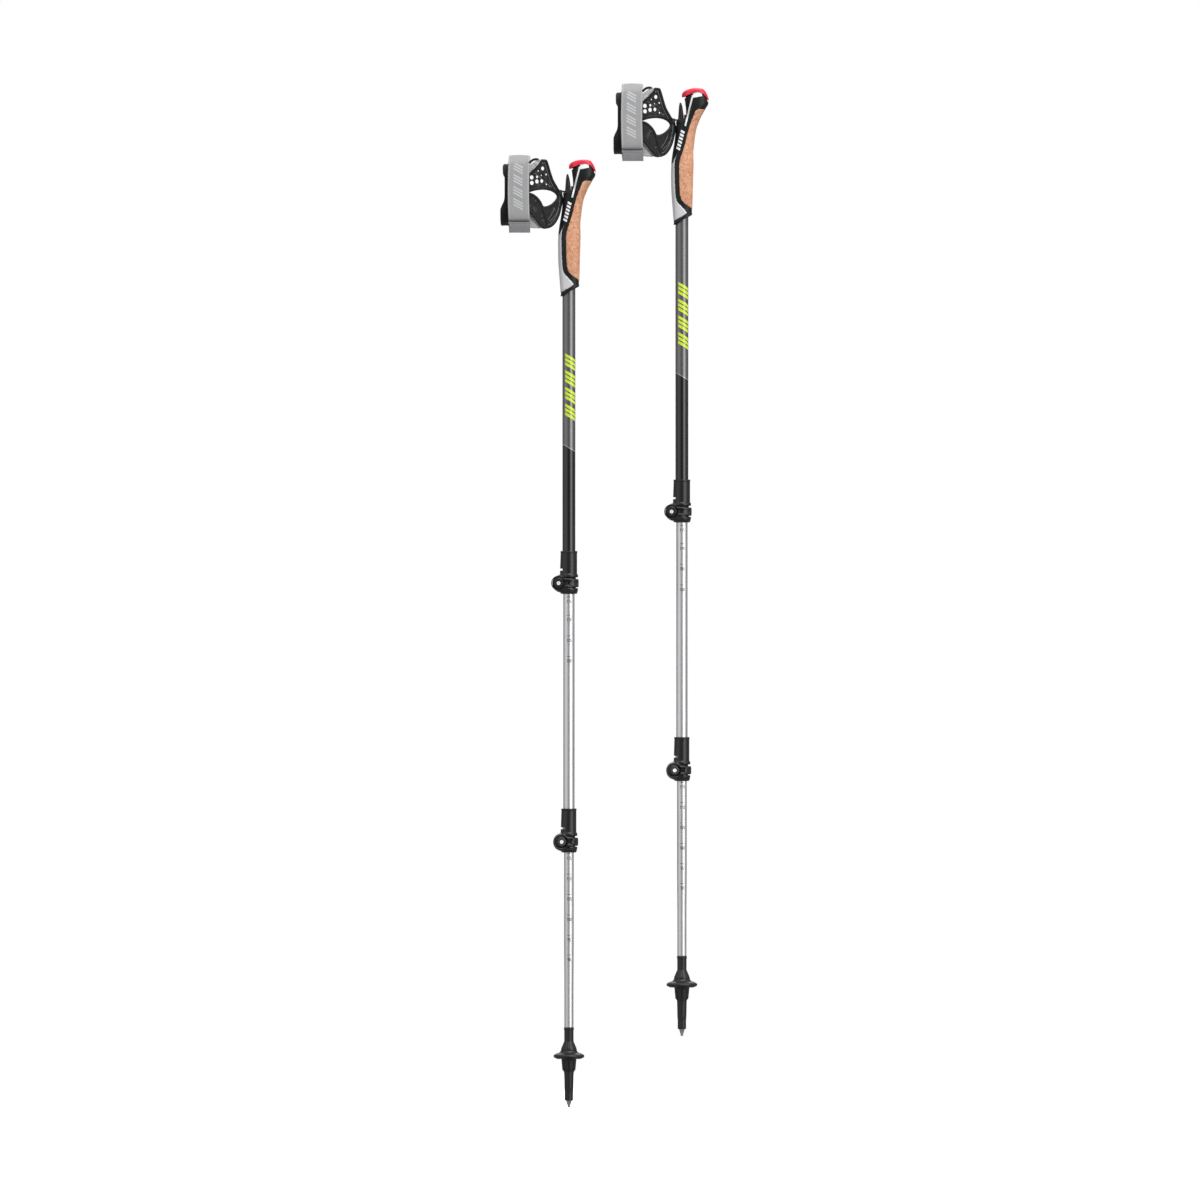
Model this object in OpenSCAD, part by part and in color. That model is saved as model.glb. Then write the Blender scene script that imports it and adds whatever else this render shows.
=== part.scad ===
// Pair of three-section trekking poles with cork grips, clip-in wrist straps,
// outside lever clamps, baskets and carbide tips.
// Each pole stands along +Z. The origin is the face of the left pole's carbide tip.
// The left pole's axis is the Z axis; the right pole is the same pole moved by pair_dx and pair_dz.
// The grip's palm side faces +X and the strap hangs off the back on the -X side.

/* [Pair] */
// Distance from the left pole's axis to the right pole's axis
pair_dx = 138.8; // [125:0.1:200]
// Height of the right pole above the left pole
pair_dz = 87.8; // [0:0.1:150]

/* [Shaft] */
// Outside radius of the upper tube
upper_r = 8; // [8:0.1:8]
// Outside radius of the middle tube
middle_r = 7; // [7:0.1:7]
// Outside radius of the lower tube at its upper end
lower_r = 6; // [6:0.1:6]
// Wall thickness of every tube
wall = 0.8; // [0.7:0.05:0.85]
// Running clearance between a tube and the part that slides on it
fit = 0.05; // [0.03:0.01:0.08]
// Height of the top end of the middle tube
middle_top = 790; // [760:1:800]
// Height of the top end of the lower tube
lower_top = 470; // [450:1:480]

/* [Clamps] */
// Height of the upper clamp's screw
upper_clamp_z = 644; // [640:0.5:650]
// Height of the lower clamp's screw
lower_clamp_z = 326.4; // [322:0.1:330]
// Turn of the lower clamp about the shaft, in degrees
lower_clamp_turn = 14; // [0:1:20]
// Width of the slit that closes when a clamp is locked
slit_w = 1.6; // [1:0.1:2]
// Radius of the tension screw
screw_r = 1.5; // [1.3:0.1:1.6]

/* [Grip] */
// Thickness of the cork over the core
cork_t = 4; // [3.5:0.1:4.5]
// Travel of the release button
button_travel = 2; // [1.5:0.1:2]
// Clearance between the button and the grip core
button_gap = 0.3; // [0.25:0.05:0.4]
// Radius of the coil spring under the button
spring_r = 3.3; // [3.2:0.05:3.5]

/* [Strap] */
// Width of the wrist band, along X
band_w = 26; // [22:0.5:28]
// Outside size of the wrist band loop, along Y
band_depth = 56; // [52:1:60]
// Thickness of the webbing
web_t = 2; // [1.6:0.1:2.2]

/* [Tip] */
// Radius of the basket's rim
basket_r = 19; // [17:0.5:25]
// Radius of the land that a rubber foot pushes onto
land_r = 5.2; // [5.2:0.1:5.2]

/* [Hidden] */
eps = 0.02;        // gap between fixed parts that touch
grip_floor = 1098; // top end of the upper tube, inside the grip
grip_half = 30;    // half width that clears the whole grip in y

// ---- Shared shapes ----

// Cylinder on the Z axis, from z up
module post(z, h, r, sides = 64) {
    translate([0, 0, z]) cylinder(h = h, r = r, $fn = sides);
}

// Cylinders and cones on the Z axis; rows: bottom z, height, bottom radius, top radius
module stack(rows, sides = 64) {
    for (row = rows)
        translate([0, 0, row[0]]) cylinder(h = row[1], r1 = row[2], r2 = row[3], $fn = sides);
}

// Cylinder along the Y axis, from y towards -Y
module y_rod(y, h, r, sides, x = 0) {
    translate([x, y, 0]) rotate([90, 0, 0]) cylinder(h = h, r = r, $fn = sides);
}

// Block centred on y = 0, its lower -X edge at x and z
module mid_block(x, z, size) {
    translate([x, -size[1] / 2, z]) cube(size);
}

// Side-view outline [x, z] run from y0 to y1
module side(outline, y0 = -grip_half, y1 = grip_half) {
    translate([0, y1, 0]) rotate([90, 0, 0]) linear_extrude(y1 - y0) polygon(outline);
}

// ---- Grip ----

// Grip stations: height, back edge x, palm edge x, half width
stations = [
    [ 992,    -9.3, 12.1,  9.6], [1010,   -10.7, 12.3, 10.6], [1026,   -11.9, 12.8, 11.8],
    [1041,   -12.9, 13.1, 12.8], [1056,   -13.1, 13.6, 13.4], [1071,   -13.0, 14.0, 13.4],
    [1084,   -11.6, 13.7, 12.8], [1097,    -9.4, 14.9, 12.2], [1109,    -7.9, 16.5, 12.0],
    [1117,    -7.2, 18.3, 12.2], [1123.8,  -6.2, 21.0, 12.6], [1128.2,   2.4, 22.8, 12.9],
    [1133.3,   5.0, 25.6, 13.4], [1139.5,   4.8, 29.5, 14.0], [1145,     4.1, 32.5, 14.4],
    [1152,     3.0, 33.0, 14.4], [1156.5,  -0.5, 33.0, 14.2], [1161,    -0.5, 32.0, 13.2],
    [1166,     3.0, 28.0, 10.5]];
ring_n = 20;       // points round each station
ring_power = 0.84; // below 1 squares off the oval

// Side-view outlines, [x, z]
cork_line = [
    [45, 1138.1], [28.4, 1138.1], [21, 1138.8], [17.3, 1137.4], [14.9, 1133.8], [13, 1129.5],
    [10.6, 1122.1], [8.1, 1114.7], [5.7, 1106.1], [3.2, 1096.3], [0.2, 1086.5], [-2.6, 1078],
    [-4.4, 1069.4], [-4.2, 1053.3], [-3.8, 1041.1], [-2.7, 1028.8], [2.6, 1022], [12, 1014.7],
    [45, 1014.7]];
panel_line = [
    [-30, 1069.4], [-13, 1069.4], [-8.6, 1079.4], [-6.6, 1083.6], [-7.4, 1078], [-8.8, 1069.4],
    [-8, 1041], [-6.8, 1028.8], [-3.6, 1022], [6.4, 1011], [-8.5, 1000.3], [-30, 1000.3]];
accent_line = [
    [13.2, 1158.6], [3.5, 1117.4], [4.9, 1117.0], [13.4, 1151.6], [27.1, 1154.4],
    [22.2, 1160.1], [13.6, 1160.4]];
// Under and upper faces of the release button
cap_under = [
    [1.7, 1154.9], [7.5, 1156.7], [13.6, 1159.4], [21, 1160], [24.7, 1157.7], [28.4, 1153.4],
    [30.8, 1149]];
cap_over = [
    [45, 1148.9], [32.9, 1154.1], [29.6, 1159.6], [25.9, 1163.3], [19.8, 1164.1],
    [11.2, 1163.5], [3.8, 1160.8], [0.1, 1157.7]];

accent_y = 11.2;                        // depth of the accent's inner face from y = 0
button_drop = button_travel + button_gap;
rod_x = 11.5;                           // axis of the push rod and its spring
rod_r = 2;
rod_foot = 1130;
wedge_z = 1122.1;                       // height of the latch's 45 degree face at x = 0
wedge_gap = 0.1;                        // between the rod's wedge and the latch's
latch_x = 2.55;
latch_z = 1126.7;
latch_w = 5.8;
fin_foot = [9.8, 10, 4];                // block at the base of the fin
fin_foot_x = -7.2;
fin_foot_z = 1120;
fin_foot_gap = 0.05;
fin_x = -0.6;                           // centre of the fin's round side and of the strap's cord
fin_w = 5.6;

function signed_pow(v, p) = sign(v) * pow(abs(v), p);

// Points round one station, drawn in by inset
function ring(station, inset) =
    let (back = station[1], palm = station[2])
    [for (i = [0:ring_n - 1]) let (angle = 360 * (i + 0.5) / ring_n)
        [(back + palm) / 2 + ((palm - back) / 2 - inset) * signed_pow(cos(angle), ring_power),
         (station[3] - inset) * signed_pow(sin(angle), ring_power),
         station[0]]];

// Outline of everything below the underside of the button, moved down by drop
function below_cap(drop) = concat(
    [[-20, 980]],
    [for (p = concat([[-20, 1154.9]], cap_under, [[45, 1149]])) [p[0], p[1] - drop]],
    [[45, 980]]);

// Upright band of the grip head between two x places
function head_band(x0, x1) = [[x0, 1100], [x0, 1170], [x1, 1170], [x1, 1100]];

// Solid skin of the whole grip, drawn in by inset
module grip_skin(inset = 0) {
    last = len(stations) - 1;
    polyhedron(
        points = [for (station = stations) each ring(station, inset)],
        faces = concat(
            [[for (i = [0:ring_n - 1]) i]],
            [for (k = [0:last - 1], i = [0:ring_n - 1])
                let (a = k * ring_n + i, b = k * ring_n + (i + 1) % ring_n)
                each [[a, a + ring_n, b + ring_n], [a, b + ring_n, b]]],
            [[for (i = [0:ring_n - 1]) last * ring_n + ring_n - 1 - i]]));
}

// Cylinder on the push rod's axis
module rod_post(z, h, r) {
    translate([rod_x, 0, 0]) post(z, h, r, 32);
}

// Inner column that carries the shaft and the push rod
module inner_column(extra = 0) {
    half_w = 8 + extra;
    post(985, 118.5, upper_r + 1.6 + extra, 48);
    side([[-3, 1095], [14 - cork_t, 1095], [17 - cork_t, 1116], [20.5 - cork_t, 1128],
        [21.5, 1134], [10, 1134], [-3, 1110]], -half_w, half_w);
}

// Everything below the grip's diagonal lower end
module grip_below() {
    side([[-30, 984.45], [30, 1018.55], [30, 960], [-30, 960]]);
}

// Slot between the fin and the grip, with the pocket of the latch
module latch_pocket() {
    mid_block(0.9, 1123.9, [4.5, 11.6, 9.6]);
    mid_block(2, 1126.4, [15.4, 6.4, 8.8]);
}

// Core, cut away for the cork, panel, accents, shaft, push rod, latch and fin
module left_grip_core() {
    bore_z = 960;
    color([0.10, 0.11, 0.11]) difference() {
        union() {
            intersection() {
                grip_skin();
                side(below_cap(button_drop));
            }
            // Neck that stands up inside the button
            intersection() {
                grip_skin(2.4);
                side(below_cap(0));
                side(head_band(4.5, 28.6));
            }
        }
        grip_below();
        for (outline = [cork_line, panel_line])
            difference() { side(outline); inner_column(); }
        for (s = [0, 1]) mirror([0, s, 0]) side(accent_line, -grip_half, -accent_y);
        post(bore_z, grip_floor + 0.1 - bore_z, upper_r + eps);
        rod_post(1133, 22, spring_r + 1.1);
        rod_post(rod_foot, 40, rod_r + 0.2);
        latch_pocket();
        mid_block(fin_foot_x - fin_foot_gap, fin_foot_z - fin_foot_gap,
            [fin_foot[0] + 2 * fin_foot_gap, fin_foot[1] + 2 * fin_foot_gap, 12]);
        mid_block(-9, 1124, [11.65, 11.8, 10]);
    }
}

module left_cork_grip() {
    color([0.80, 0.60, 0.42]) difference() {
        intersection() { grip_skin(); side(cork_line); }
        inner_column(eps);
        latch_pocket();
        grip_below();
    }
}

module left_grip_panel() {
    color([0.76, 0.76, 0.78]) difference() {
        intersection() { grip_skin(); side(panel_line); }
        inner_column(eps);
        grip_below();
    }
}

// One thin inlay on each side of the head
module left_grip_accent() {
    color([0.92, 0.92, 0.92]) for (s = [0, 1]) mirror([0, s, 0]) intersection() {
        grip_skin();
        side(below_cap(button_drop));
        side(accent_line, -grip_half, -accent_y - eps);
    }
}

// Cap over the head, hollowed to ride down over the core's neck
module left_release_button() {
    color([0.88, 0.14, 0.25]) difference() {
        intersection() {
            grip_skin();
            side(concat(cap_under, cap_over));
        }
        intersection() {
            grip_skin(1.6);
            side(below_cap(-button_drop));
            side(head_band(4.2, 28.9));
        }
        rod_post(rod_foot, 32, rod_r + eps);
    }
}

// Rod from the button down to the latch, its foot cut as a 45 degree wedge
module left_button_pushrod() {
    x0 = rod_x - 10;
    x1 = rod_x + 10;
    face_z = wedge_z + wedge_gap;
    color("silver") difference() {
        union() {
            rod_post(rod_foot, 31.9, rod_r);
            rod_post(1153.2, 1.4, 3.1);
        }
        side([[x0, x0 + face_z], [x1, x1 + face_z], [x1, 1100], [x0, 1100]], -6, 6);
    }
}

// Coil made by twisting a short arc of wire round the rod
module left_button_spring() {
    turns = 6;
    length = 17.4;
    wire = 0.4;     // half the wire's thickness
    half_angle = 34;
    step = half_angle / 3;
    color("silver") translate([rod_x, 0, 1135.2])
        linear_extrude(height = length, twist = -360 * turns, slices = 84)
            polygon(concat(
                [for (a = [-half_angle:step:half_angle]) (spring_r + wire) * [cos(a), sin(a)]],
                [for (a = [half_angle:-step:-half_angle]) (spring_r - wire) * [cos(a), sin(a)]]));
}

// Sliding latch that closes the slot over the strap's loop
module left_strap_latch() {
    nose = 2;
    notch_x = latch_x + nose;
    color([0.80, 0.12, 0.20]) difference() {
        union() {
            mid_block(latch_x, latch_z, [12.6, latch_w, 2.2]);
            mid_block(6.4, latch_z, [8.8, latch_w, 6]);
            mid_block(latch_x, latch_z, [nose, latch_w, 5]);
        }
        side([[notch_x, notch_x + wedge_z + 2.4], [6.2, 1128.9], [6.9, 1129],
            [16, 16 + wedge_z], [16, 1140], [notch_x, 1140]], -6, 6);
    }
}

// ---- Strap ----

cord_r = 0.95;     // thickness radius of the loop's cord
cord_ring_r = 4.4; // bend radius of the cord round the fin
cord_z = 1125.2;
band_z = 1124.2;   // middle height of the wrist loop
band_straight = 36;
web_x = -10;       // where the webbing turns away from the grip
web_yaw = 33;      // degrees

// Webbing fold seen from the side before its yaw, [x, z]
web_line = [
    [-15, 1121.3], [-15, 1128.3], [-18.5, 1138.5], [-22, 1147.9], [-26.5, 1163.5],
    [-31.5, 1164.5], [-37, 1154], [-43, 1149], [-43, 1126.8], [-31.8, 1127.7], [-23, 1125],
    [-17.2, 1119.5], [-22, 1110.4], [-30.5, 1106.2], [-36, 1115], [-41, 1120], [-43, 1121.5],
    [-43, 1091], [-38, 1085], [-33, 1079.5], [-24.4, 1080.3], [-17.1, 1085.7], [-12, 1098],
    [-10.3, 1108], [-9.9, 1113], [-9.9, 1121.3]];

// Upright fin, rounded on its palm side, on a foot let into the core
module left_fin_hook() {
    color([0.12, 0.12, 0.12]) {
        intersection() {
            side([[-4.7, 1123.5], [2.2, 1123.5], [2.1, 1130], [1.7, 1133.7], [0.8, 1139.8],
                [-0.4, 1144.7], [-1.2, 1146.5], [-2.4, 1146.5], [-3.1, 1144.7],
                [-3.8, 1139.8], [-4.2, 1133.7], [-4.7, 1128]], -fin_w / 2, fin_w / 2);
            translate([0, 0, 1120]) linear_extrude(30) union() {
                translate([fin_x, 0]) circle(r = 3.2, $fn = 48);
                translate([-6, -fin_w / 2]) square([fin_x + 6, fin_w]);
            }
        }
        mid_block(fin_foot_x, fin_foot_z, fin_foot);
    }
}

// Cord that drops over the fin, with its moulded end
module left_strap_loop() {
    color([0.12, 0.12, 0.13]) {
        translate([fin_x, 0, cord_z]) rotate([0, 0, -90])
            rotate_extrude(angle = 180, $fn = 48)
                translate([cord_ring_r, 0]) circle(r = cord_r, $fn = 24);
        for (s = [-1, 1]) translate([fin_x, s * cord_ring_r, cord_z])
            rotate([0, -90, 0]) cylinder(h = 9.4, r = cord_r, $fn = 24);
        mid_block(-14.4, 1121.6, [5, 10.8, 5.6]);
    }
}

// Stadium with its long axis upright
module stadium(r) {
    union() {
        for (s = [1, -1]) translate([0, s * band_straight / 2]) circle(r = r, $fn = 64);
        translate([-r, -band_straight / 2]) square([2 * r, band_straight]);
    }
}

// Stadium-shaped ring about an axis along x, from x0, of outside radius r and thickness t
module loop_ring(x0, w, r, t) {
    translate([x0, 0, band_z]) rotate([90, 0, 90]) linear_extrude(w)
        difference() { stadium(r); stadium(r - t); }
}

// Inner loop, the block that joins it to the webbing, and the folded webbing
module left_strap_web() {
    color([0.13, 0.13, 0.14]) {
        loop_ring(-84, 43, band_depth / 2 - web_t - 0.25, 2);
        translate([-47.5, -band_depth / 2 + web_t + 0.3, 1107]) cube([6, 5, 34]);
        translate([web_x, 0, 0]) rotate([0, 0, web_yaw])
            side([for (p = web_line) [(p[0] - web_x) / cos(web_yaw), p[1]]], -1, 1);
    }
}

// Outer loop with a flat patch on its -Y side
module left_wrist_band() {
    color([0.64, 0.64, 0.64]) {
        loop_ring(-73.6, band_w, band_depth / 2, web_t);
        translate([-73.4, -band_depth / 2 - 1.4, 1074]) cube([band_w - 0.2, 2, 30]);
    }
}

// ---- Shaft ----

upper_foot = 655.2;    // bottom ends of the tubes
middle_foot = 338.6;
lower_foot = 98.4;
taper_z = 150;         // the lower tube tapers between these heights
taper_top = 200;
tail_r = lower_r - 0.35;

// Plain drawn tube
module tube(z0, z1, outer_r) {
    difference() {
        post(z0, z1 - z0, outer_r);
        post(z0 - 1, z1 - z0 + 2, outer_r - wall);
    }
}

module left_upper_tube() { color([0.40, 0.40, 0.41]) tube(upper_foot, grip_floor, upper_r); }
module left_middle_tube() { color([0.78, 0.78, 0.78]) tube(middle_foot, middle_top, middle_r); }
module left_lower_tube() {
    color([0.78, 0.78, 0.78]) difference() {
        stack([
            [taper_top, lower_top - taper_top, lower_r, lower_r],
            [taper_z, taper_top - taper_z, tail_r, lower_r],
            [lower_foot, taper_z - lower_foot, tail_r, tail_r]]);
        post(taper_top - 1, lower_top - taper_top + 2, lower_r - wall);
        post(97, taper_top - 97, tail_r - wall);
    }
}

// Guide bush plugged into a sliding tube's top at z, running in a bore of radius bore_r
module bush(z, tube_r, bore_r) {
    head_h = 8;
    plug_h = 10;
    difference() {
        union() {
            post(z, head_h, bore_r - 0.08);
            post(z - plug_h, plug_h, tube_r - wall - eps);
        }
        post(z - plug_h - 1, head_h + plug_h + 2, tube_r - wall - 1);
    }
}
module left_middle_bush() {
    color([0.15, 0.15, 0.15]) bush(middle_top + eps, middle_r, upper_r - wall);
}
module left_lower_bush() {
    color([0.15, 0.15, 0.15]) bush(lower_top + eps, lower_r, middle_r - wall);
}

// ---- Clamps ----
// Each clamp is drawn with its screw at z = 0, and the screw and dial on the Y axis.

upper_screw_x = 12.65; // distance of the screw from the shaft's axis, towards -X
lower_screw_x = 11.65;
upper_sleeve_r = 10.1;
lower_sleeve_r = 9.2;
pin_y = 9;             // place of the lever's pivot
pin_r = 2.5;
lever_h = 10.2;
rim = 1.2;             // how far the collars stand out from the sleeve
collar_z = -11;        // bottom of the lower collar
socket_z = 11;         // where the bore widens for the outer tube

module at_upper() { translate([0, 0, upper_clamp_z]) children(); }
module at_lower() {
    translate([0, 0, lower_clamp_z]) rotate([0, 0, lower_clamp_turn]) children();
}
module at_upper_screw() { at_upper() translate([-upper_screw_x, 0, 0]) children(); }
module at_lower_screw() { at_lower() translate([-lower_screw_x, 0, 0]) children(); }

// Sleeve on the outer tube and split throat on the inner tube
module clamp_body(sleeve_top, outer_r, inner_r, sleeve_r, screw_x) {
    collar_r = sleeve_r + rim;
    groove_r = sleeve_r - 1.5;
    difference() {
        union() {
            stack([
                [10.9, sleeve_top - 10.9, sleeve_r, sleeve_r],
                [7, 4, collar_r, collar_r],
                [collar_z, 20, groove_r, groove_r],
                [collar_z, 5, collar_r, collar_r],
                [collar_z - 2.3, 2.3, sleeve_r - 1.6, collar_r]]);
            y_rod(4.8, 13.8, 10.8, 64, x = 2.95 - screw_x);
        }
        post(-20, 60, inner_r + fit);
        post(socket_z, 60, outer_r + eps);
        // Slit down the back, and the slot across its top
        mid_block(-40, -20, [40 - inner_r + 0.5, slit_w, 38]);
        mid_block(-40, 15.5, [40 - inner_r - 0.4, 40, 2.2]);
        // Screw hole and the dial's recess
        y_rod(30, 60, screw_r + 0.2, 32, x = -screw_x);
        y_rod(-5.2, 20, 7.7, 48, x = -screw_x);
    }
}

// Lever: fork eyes on the pivot pin and a curved arm that lies in the groove
module clamp_lever(sleeve_r, screw_x) {
    arm_start = -53.4; // degrees round the shaft
    arm_end = 118;
    difference() {
        translate([0, 0, -lever_h / 2]) union() {
            translate([-screw_x, pin_y, 0]) cylinder(h = lever_h, r = 3.9, $fn = 48);
            linear_extrude(lever_h) difference() {
                intersection() {
                    circle(r = sleeve_r + 2, $fn = 96);
                    polygon([[0, 0], 40 * [cos(arm_start), sin(arm_start)], [60, 0], [60, 60],
                        40 * [cos(arm_end), sin(arm_end)]]);
                }
                circle(r = sleeve_r - 1.2, $fn = 96);
            }
            // Bridge from the eyes to the arm
            translate([1 - screw_x, pin_y - 0.6, 0]) cube([8.2, 3.6, lever_h]);
            // Raised block at the arm's free end
            rotate([0, 0, -50]) translate([sleeve_r + 1, -0.6, 0]) cube([2.6, 3.2, lever_h]);
        }
        translate([-screw_x, pin_y, -20]) cylinder(h = 40, r = pin_r + fit, $fn = 48);
        translate([-screw_x - 6, pin_y - 6, -2]) cube([8.7, 12, 4]);
    }
}

// Barrel nut that is the lever's pivot, cross-drilled for the screw
module clamp_pin() {
    difference() {
        translate([0, pin_y, 0]) post(-5.6, 11.2, pin_r, 48);
        y_rod(pin_y + 10, 20, screw_r + 0.03, 32);
    }
}

// Tension screw with a slotted head at its -Y end
module clamp_screw() {
    thread_y = pin_y + 1.6;
    slot_w = 0.7;
    difference() {
        union() {
            y_rod(thread_y, thread_y + 8.9, screw_r, 32);
            y_rod(-8.8, 1.5, 2.3, 32);
        }
        translate([-slot_w / 2, -11, -5]) cube([slot_w, 1.5, 10]);
    }
}

// Finger dial with grip notches, turned to set the clamping force
module clamp_dial() {
    difference() {
        union() {
            y_rod(-5.4, 2.8, 7.3, 48);
            y_rod(-8.1, 1.7, 6, 48);
        }
        y_rod(20, 40, screw_r + eps, 32);
        y_rod(-8.78, 5, 2.4, 32);
        for (a = [0:30:330]) rotate([0, a, 0]) y_rod(-3, 8, 0.7, 16, x = 7.5);
    }
}

module left_upper_clamp_body() {
    color([0.09, 0.09, 0.10]) at_upper()
        clamp_body(39.5, upper_r, middle_r, upper_sleeve_r, upper_screw_x);
}
module left_upper_clamp_lever() {
    color([0.12, 0.12, 0.13]) at_upper() clamp_lever(upper_sleeve_r, upper_screw_x);
}
module left_upper_clamp_pin() { color("silver") at_upper_screw() clamp_pin(); }
module left_upper_clamp_screw() { color("silver") at_upper_screw() clamp_screw(); }
module left_upper_clamp_dial() { color([0.15, 0.15, 0.15]) at_upper_screw() clamp_dial(); }

module left_lower_clamp_body() {
    color([0.09, 0.09, 0.10]) at_lower()
        clamp_body(40.8, middle_r, lower_r, lower_sleeve_r, lower_screw_x);
}
module left_lower_clamp_lever() {
    color([0.12, 0.12, 0.13]) at_lower() clamp_lever(lower_sleeve_r, lower_screw_x);
}
module left_lower_clamp_pin() { color("silver") at_lower_screw() clamp_pin(); }
module left_lower_clamp_screw() { color("silver") at_lower_screw() clamp_screw(); }
module left_lower_clamp_dial() { color([0.15, 0.15, 0.15]) at_lower_screw() clamp_dial(); }

// ---- Tip ----

seat_r = 6.3;     // basket seat
seat_z = 45.2;
basket_top = 70;
basket_bore_r = seat_r + 0.08;
collar_foot = 80.6;
socket_r = 2.5;   // socket that holds the carbide tip
spigot_r = tail_r - wall - eps;

// Plastic tip: spigot in the tube, collar, stop cone, basket seat, flexible shank and land
module left_tip_shank() {
    color([0.10, 0.10, 0.11]) difference() {
        stack([
            [98, 26, spigot_r, spigot_r],
            [collar_foot, lower_foot - eps - collar_foot, tail_r, tail_r],
            [70.1, 10.6, 9.9, tail_r],
            [seat_z, 25, seat_r, seat_r],
            [24, 21.3, 5.6, 6],
            [19, 5, land_r, 5.6],
            [8.5, 10.6, land_r, land_r]]);
        post(5, 19, socket_r, 48);
    }
}

// Round basket up against the stop cone, with a ring of blind holes round its hub
module left_basket() {
    color([0.11, 0.11, 0.12]) difference() {
        // Half section, [radius, z]
        rotate_extrude($fn = 96) polygon([
            [basket_bore_r, basket_top], [9.9, basket_top], [11.2, 67.6], [13.5, 66.2],
            [16, 65.9], [basket_r - 1.4, 65.4], [basket_r - 0.3, 64.6], [basket_r, 63.2],
            [basket_r - 0.4, 61.6], [basket_r - 1.6, 60.6], [15, 60], [9.6, 59.7],
            [9.15, 59.4], [8, seat_z], [basket_bore_r, seat_z]]);
        for (a = [0:45:315]) rotate([0, 0, a]) translate([9.9, 0, 0]) post(40, 17, 1.1, 24);
    }
}

module left_carbide_tip() {
    color([0.62, 0.62, 0.62]) union() {
        post(8.4, 15.4, socket_r - eps, 48);
        stack([[3, 5.45, 2, 3.6]], 48);
        post(0, 3.1, 1.65, 32);
    }
}

// ---- Right pole: the left pole moved ----

module right_pole() { translate([pair_dx, 0, pair_dz]) children(); }

module right_release_button() { right_pole() left_release_button(); }
module right_button_pushrod() { right_pole() left_button_pushrod(); }
module right_button_spring() { right_pole() left_button_spring(); }
module right_strap_latch() { right_pole() left_strap_latch(); }
module right_grip_core() { right_pole() left_grip_core(); }
module right_cork_grip() { right_pole() left_cork_grip(); }
module right_grip_panel() { right_pole() left_grip_panel(); }
module right_grip_accent() { right_pole() left_grip_accent(); }
module right_fin_hook() { right_pole() left_fin_hook(); }
module right_strap_loop() { right_pole() left_strap_loop(); }
module right_strap_web() { right_pole() left_strap_web(); }
module right_wrist_band() { right_pole() left_wrist_band(); }
module right_upper_tube() { right_pole() left_upper_tube(); }
module right_upper_clamp_body() { right_pole() left_upper_clamp_body(); }
module right_upper_clamp_lever() { right_pole() left_upper_clamp_lever(); }
module right_upper_clamp_pin() { right_pole() left_upper_clamp_pin(); }
module right_upper_clamp_screw() { right_pole() left_upper_clamp_screw(); }
module right_upper_clamp_dial() { right_pole() left_upper_clamp_dial(); }
module right_middle_tube() { right_pole() left_middle_tube(); }
module right_middle_bush() { right_pole() left_middle_bush(); }
module right_lower_clamp_body() { right_pole() left_lower_clamp_body(); }
module right_lower_clamp_lever() { right_pole() left_lower_clamp_lever(); }
module right_lower_clamp_pin() { right_pole() left_lower_clamp_pin(); }
module right_lower_clamp_screw() { right_pole() left_lower_clamp_screw(); }
module right_lower_clamp_dial() { right_pole() left_lower_clamp_dial(); }
module right_lower_tube() { right_pole() left_lower_tube(); }
module right_lower_bush() { right_pole() left_lower_bush(); }
module right_tip_shank() { right_pole() left_tip_shank(); }
module right_basket() { right_pole() left_basket(); }
module right_carbide_tip() { right_pole() left_carbide_tip(); }

left_release_button();
left_button_pushrod();
left_button_spring();
left_strap_latch();
left_grip_core();
left_cork_grip();
left_grip_panel();
left_grip_accent();
left_fin_hook();
left_strap_loop();
left_strap_web();
left_wrist_band();
left_upper_tube();
left_upper_clamp_body();
left_upper_clamp_lever();
left_upper_clamp_pin();
left_upper_clamp_screw();
left_upper_clamp_dial();
left_middle_tube();
left_middle_bush();
left_lower_clamp_body();
left_lower_clamp_lever();
left_lower_clamp_pin();
left_lower_clamp_screw();
left_lower_clamp_dial();
left_lower_tube();
left_lower_bush();
left_tip_shank();
left_basket();
left_carbide_tip();
right_release_button();
right_button_pushrod();
right_button_spring();
right_strap_latch();
right_grip_core();
right_cork_grip();
right_grip_panel();
right_grip_accent();
right_fin_hook();
right_strap_loop();
right_strap_web();
right_wrist_band();
right_upper_tube();
right_upper_clamp_body();
right_upper_clamp_lever();
right_upper_clamp_pin();
right_upper_clamp_screw();
right_upper_clamp_dial();
right_middle_tube();
right_middle_bush();
right_lower_clamp_body();
right_lower_clamp_lever();
right_lower_clamp_pin();
right_lower_clamp_screw();
right_lower_clamp_dial();
right_lower_tube();
right_lower_bush();
right_tip_shank();
right_basket();
right_carbide_tip();
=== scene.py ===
"""A pair of telescopic walking poles with cork grips, hand straps, clamps and snow baskets.

Both poles stand along +Z with the tip down. Geometry is written in millimetres in the left
pole's place: its shaft runs up the Z axis from the tip at z = 0, the palm edge of the grip
looks to +X, the strap hangs to -X and the camera looks from -Y. Each shape is then made twice,
once at each pole's place. Materials, stage and camera are in metres.
"""
import math
import bpy
import bmesh
import numpy as np
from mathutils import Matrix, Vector, geometry


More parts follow.
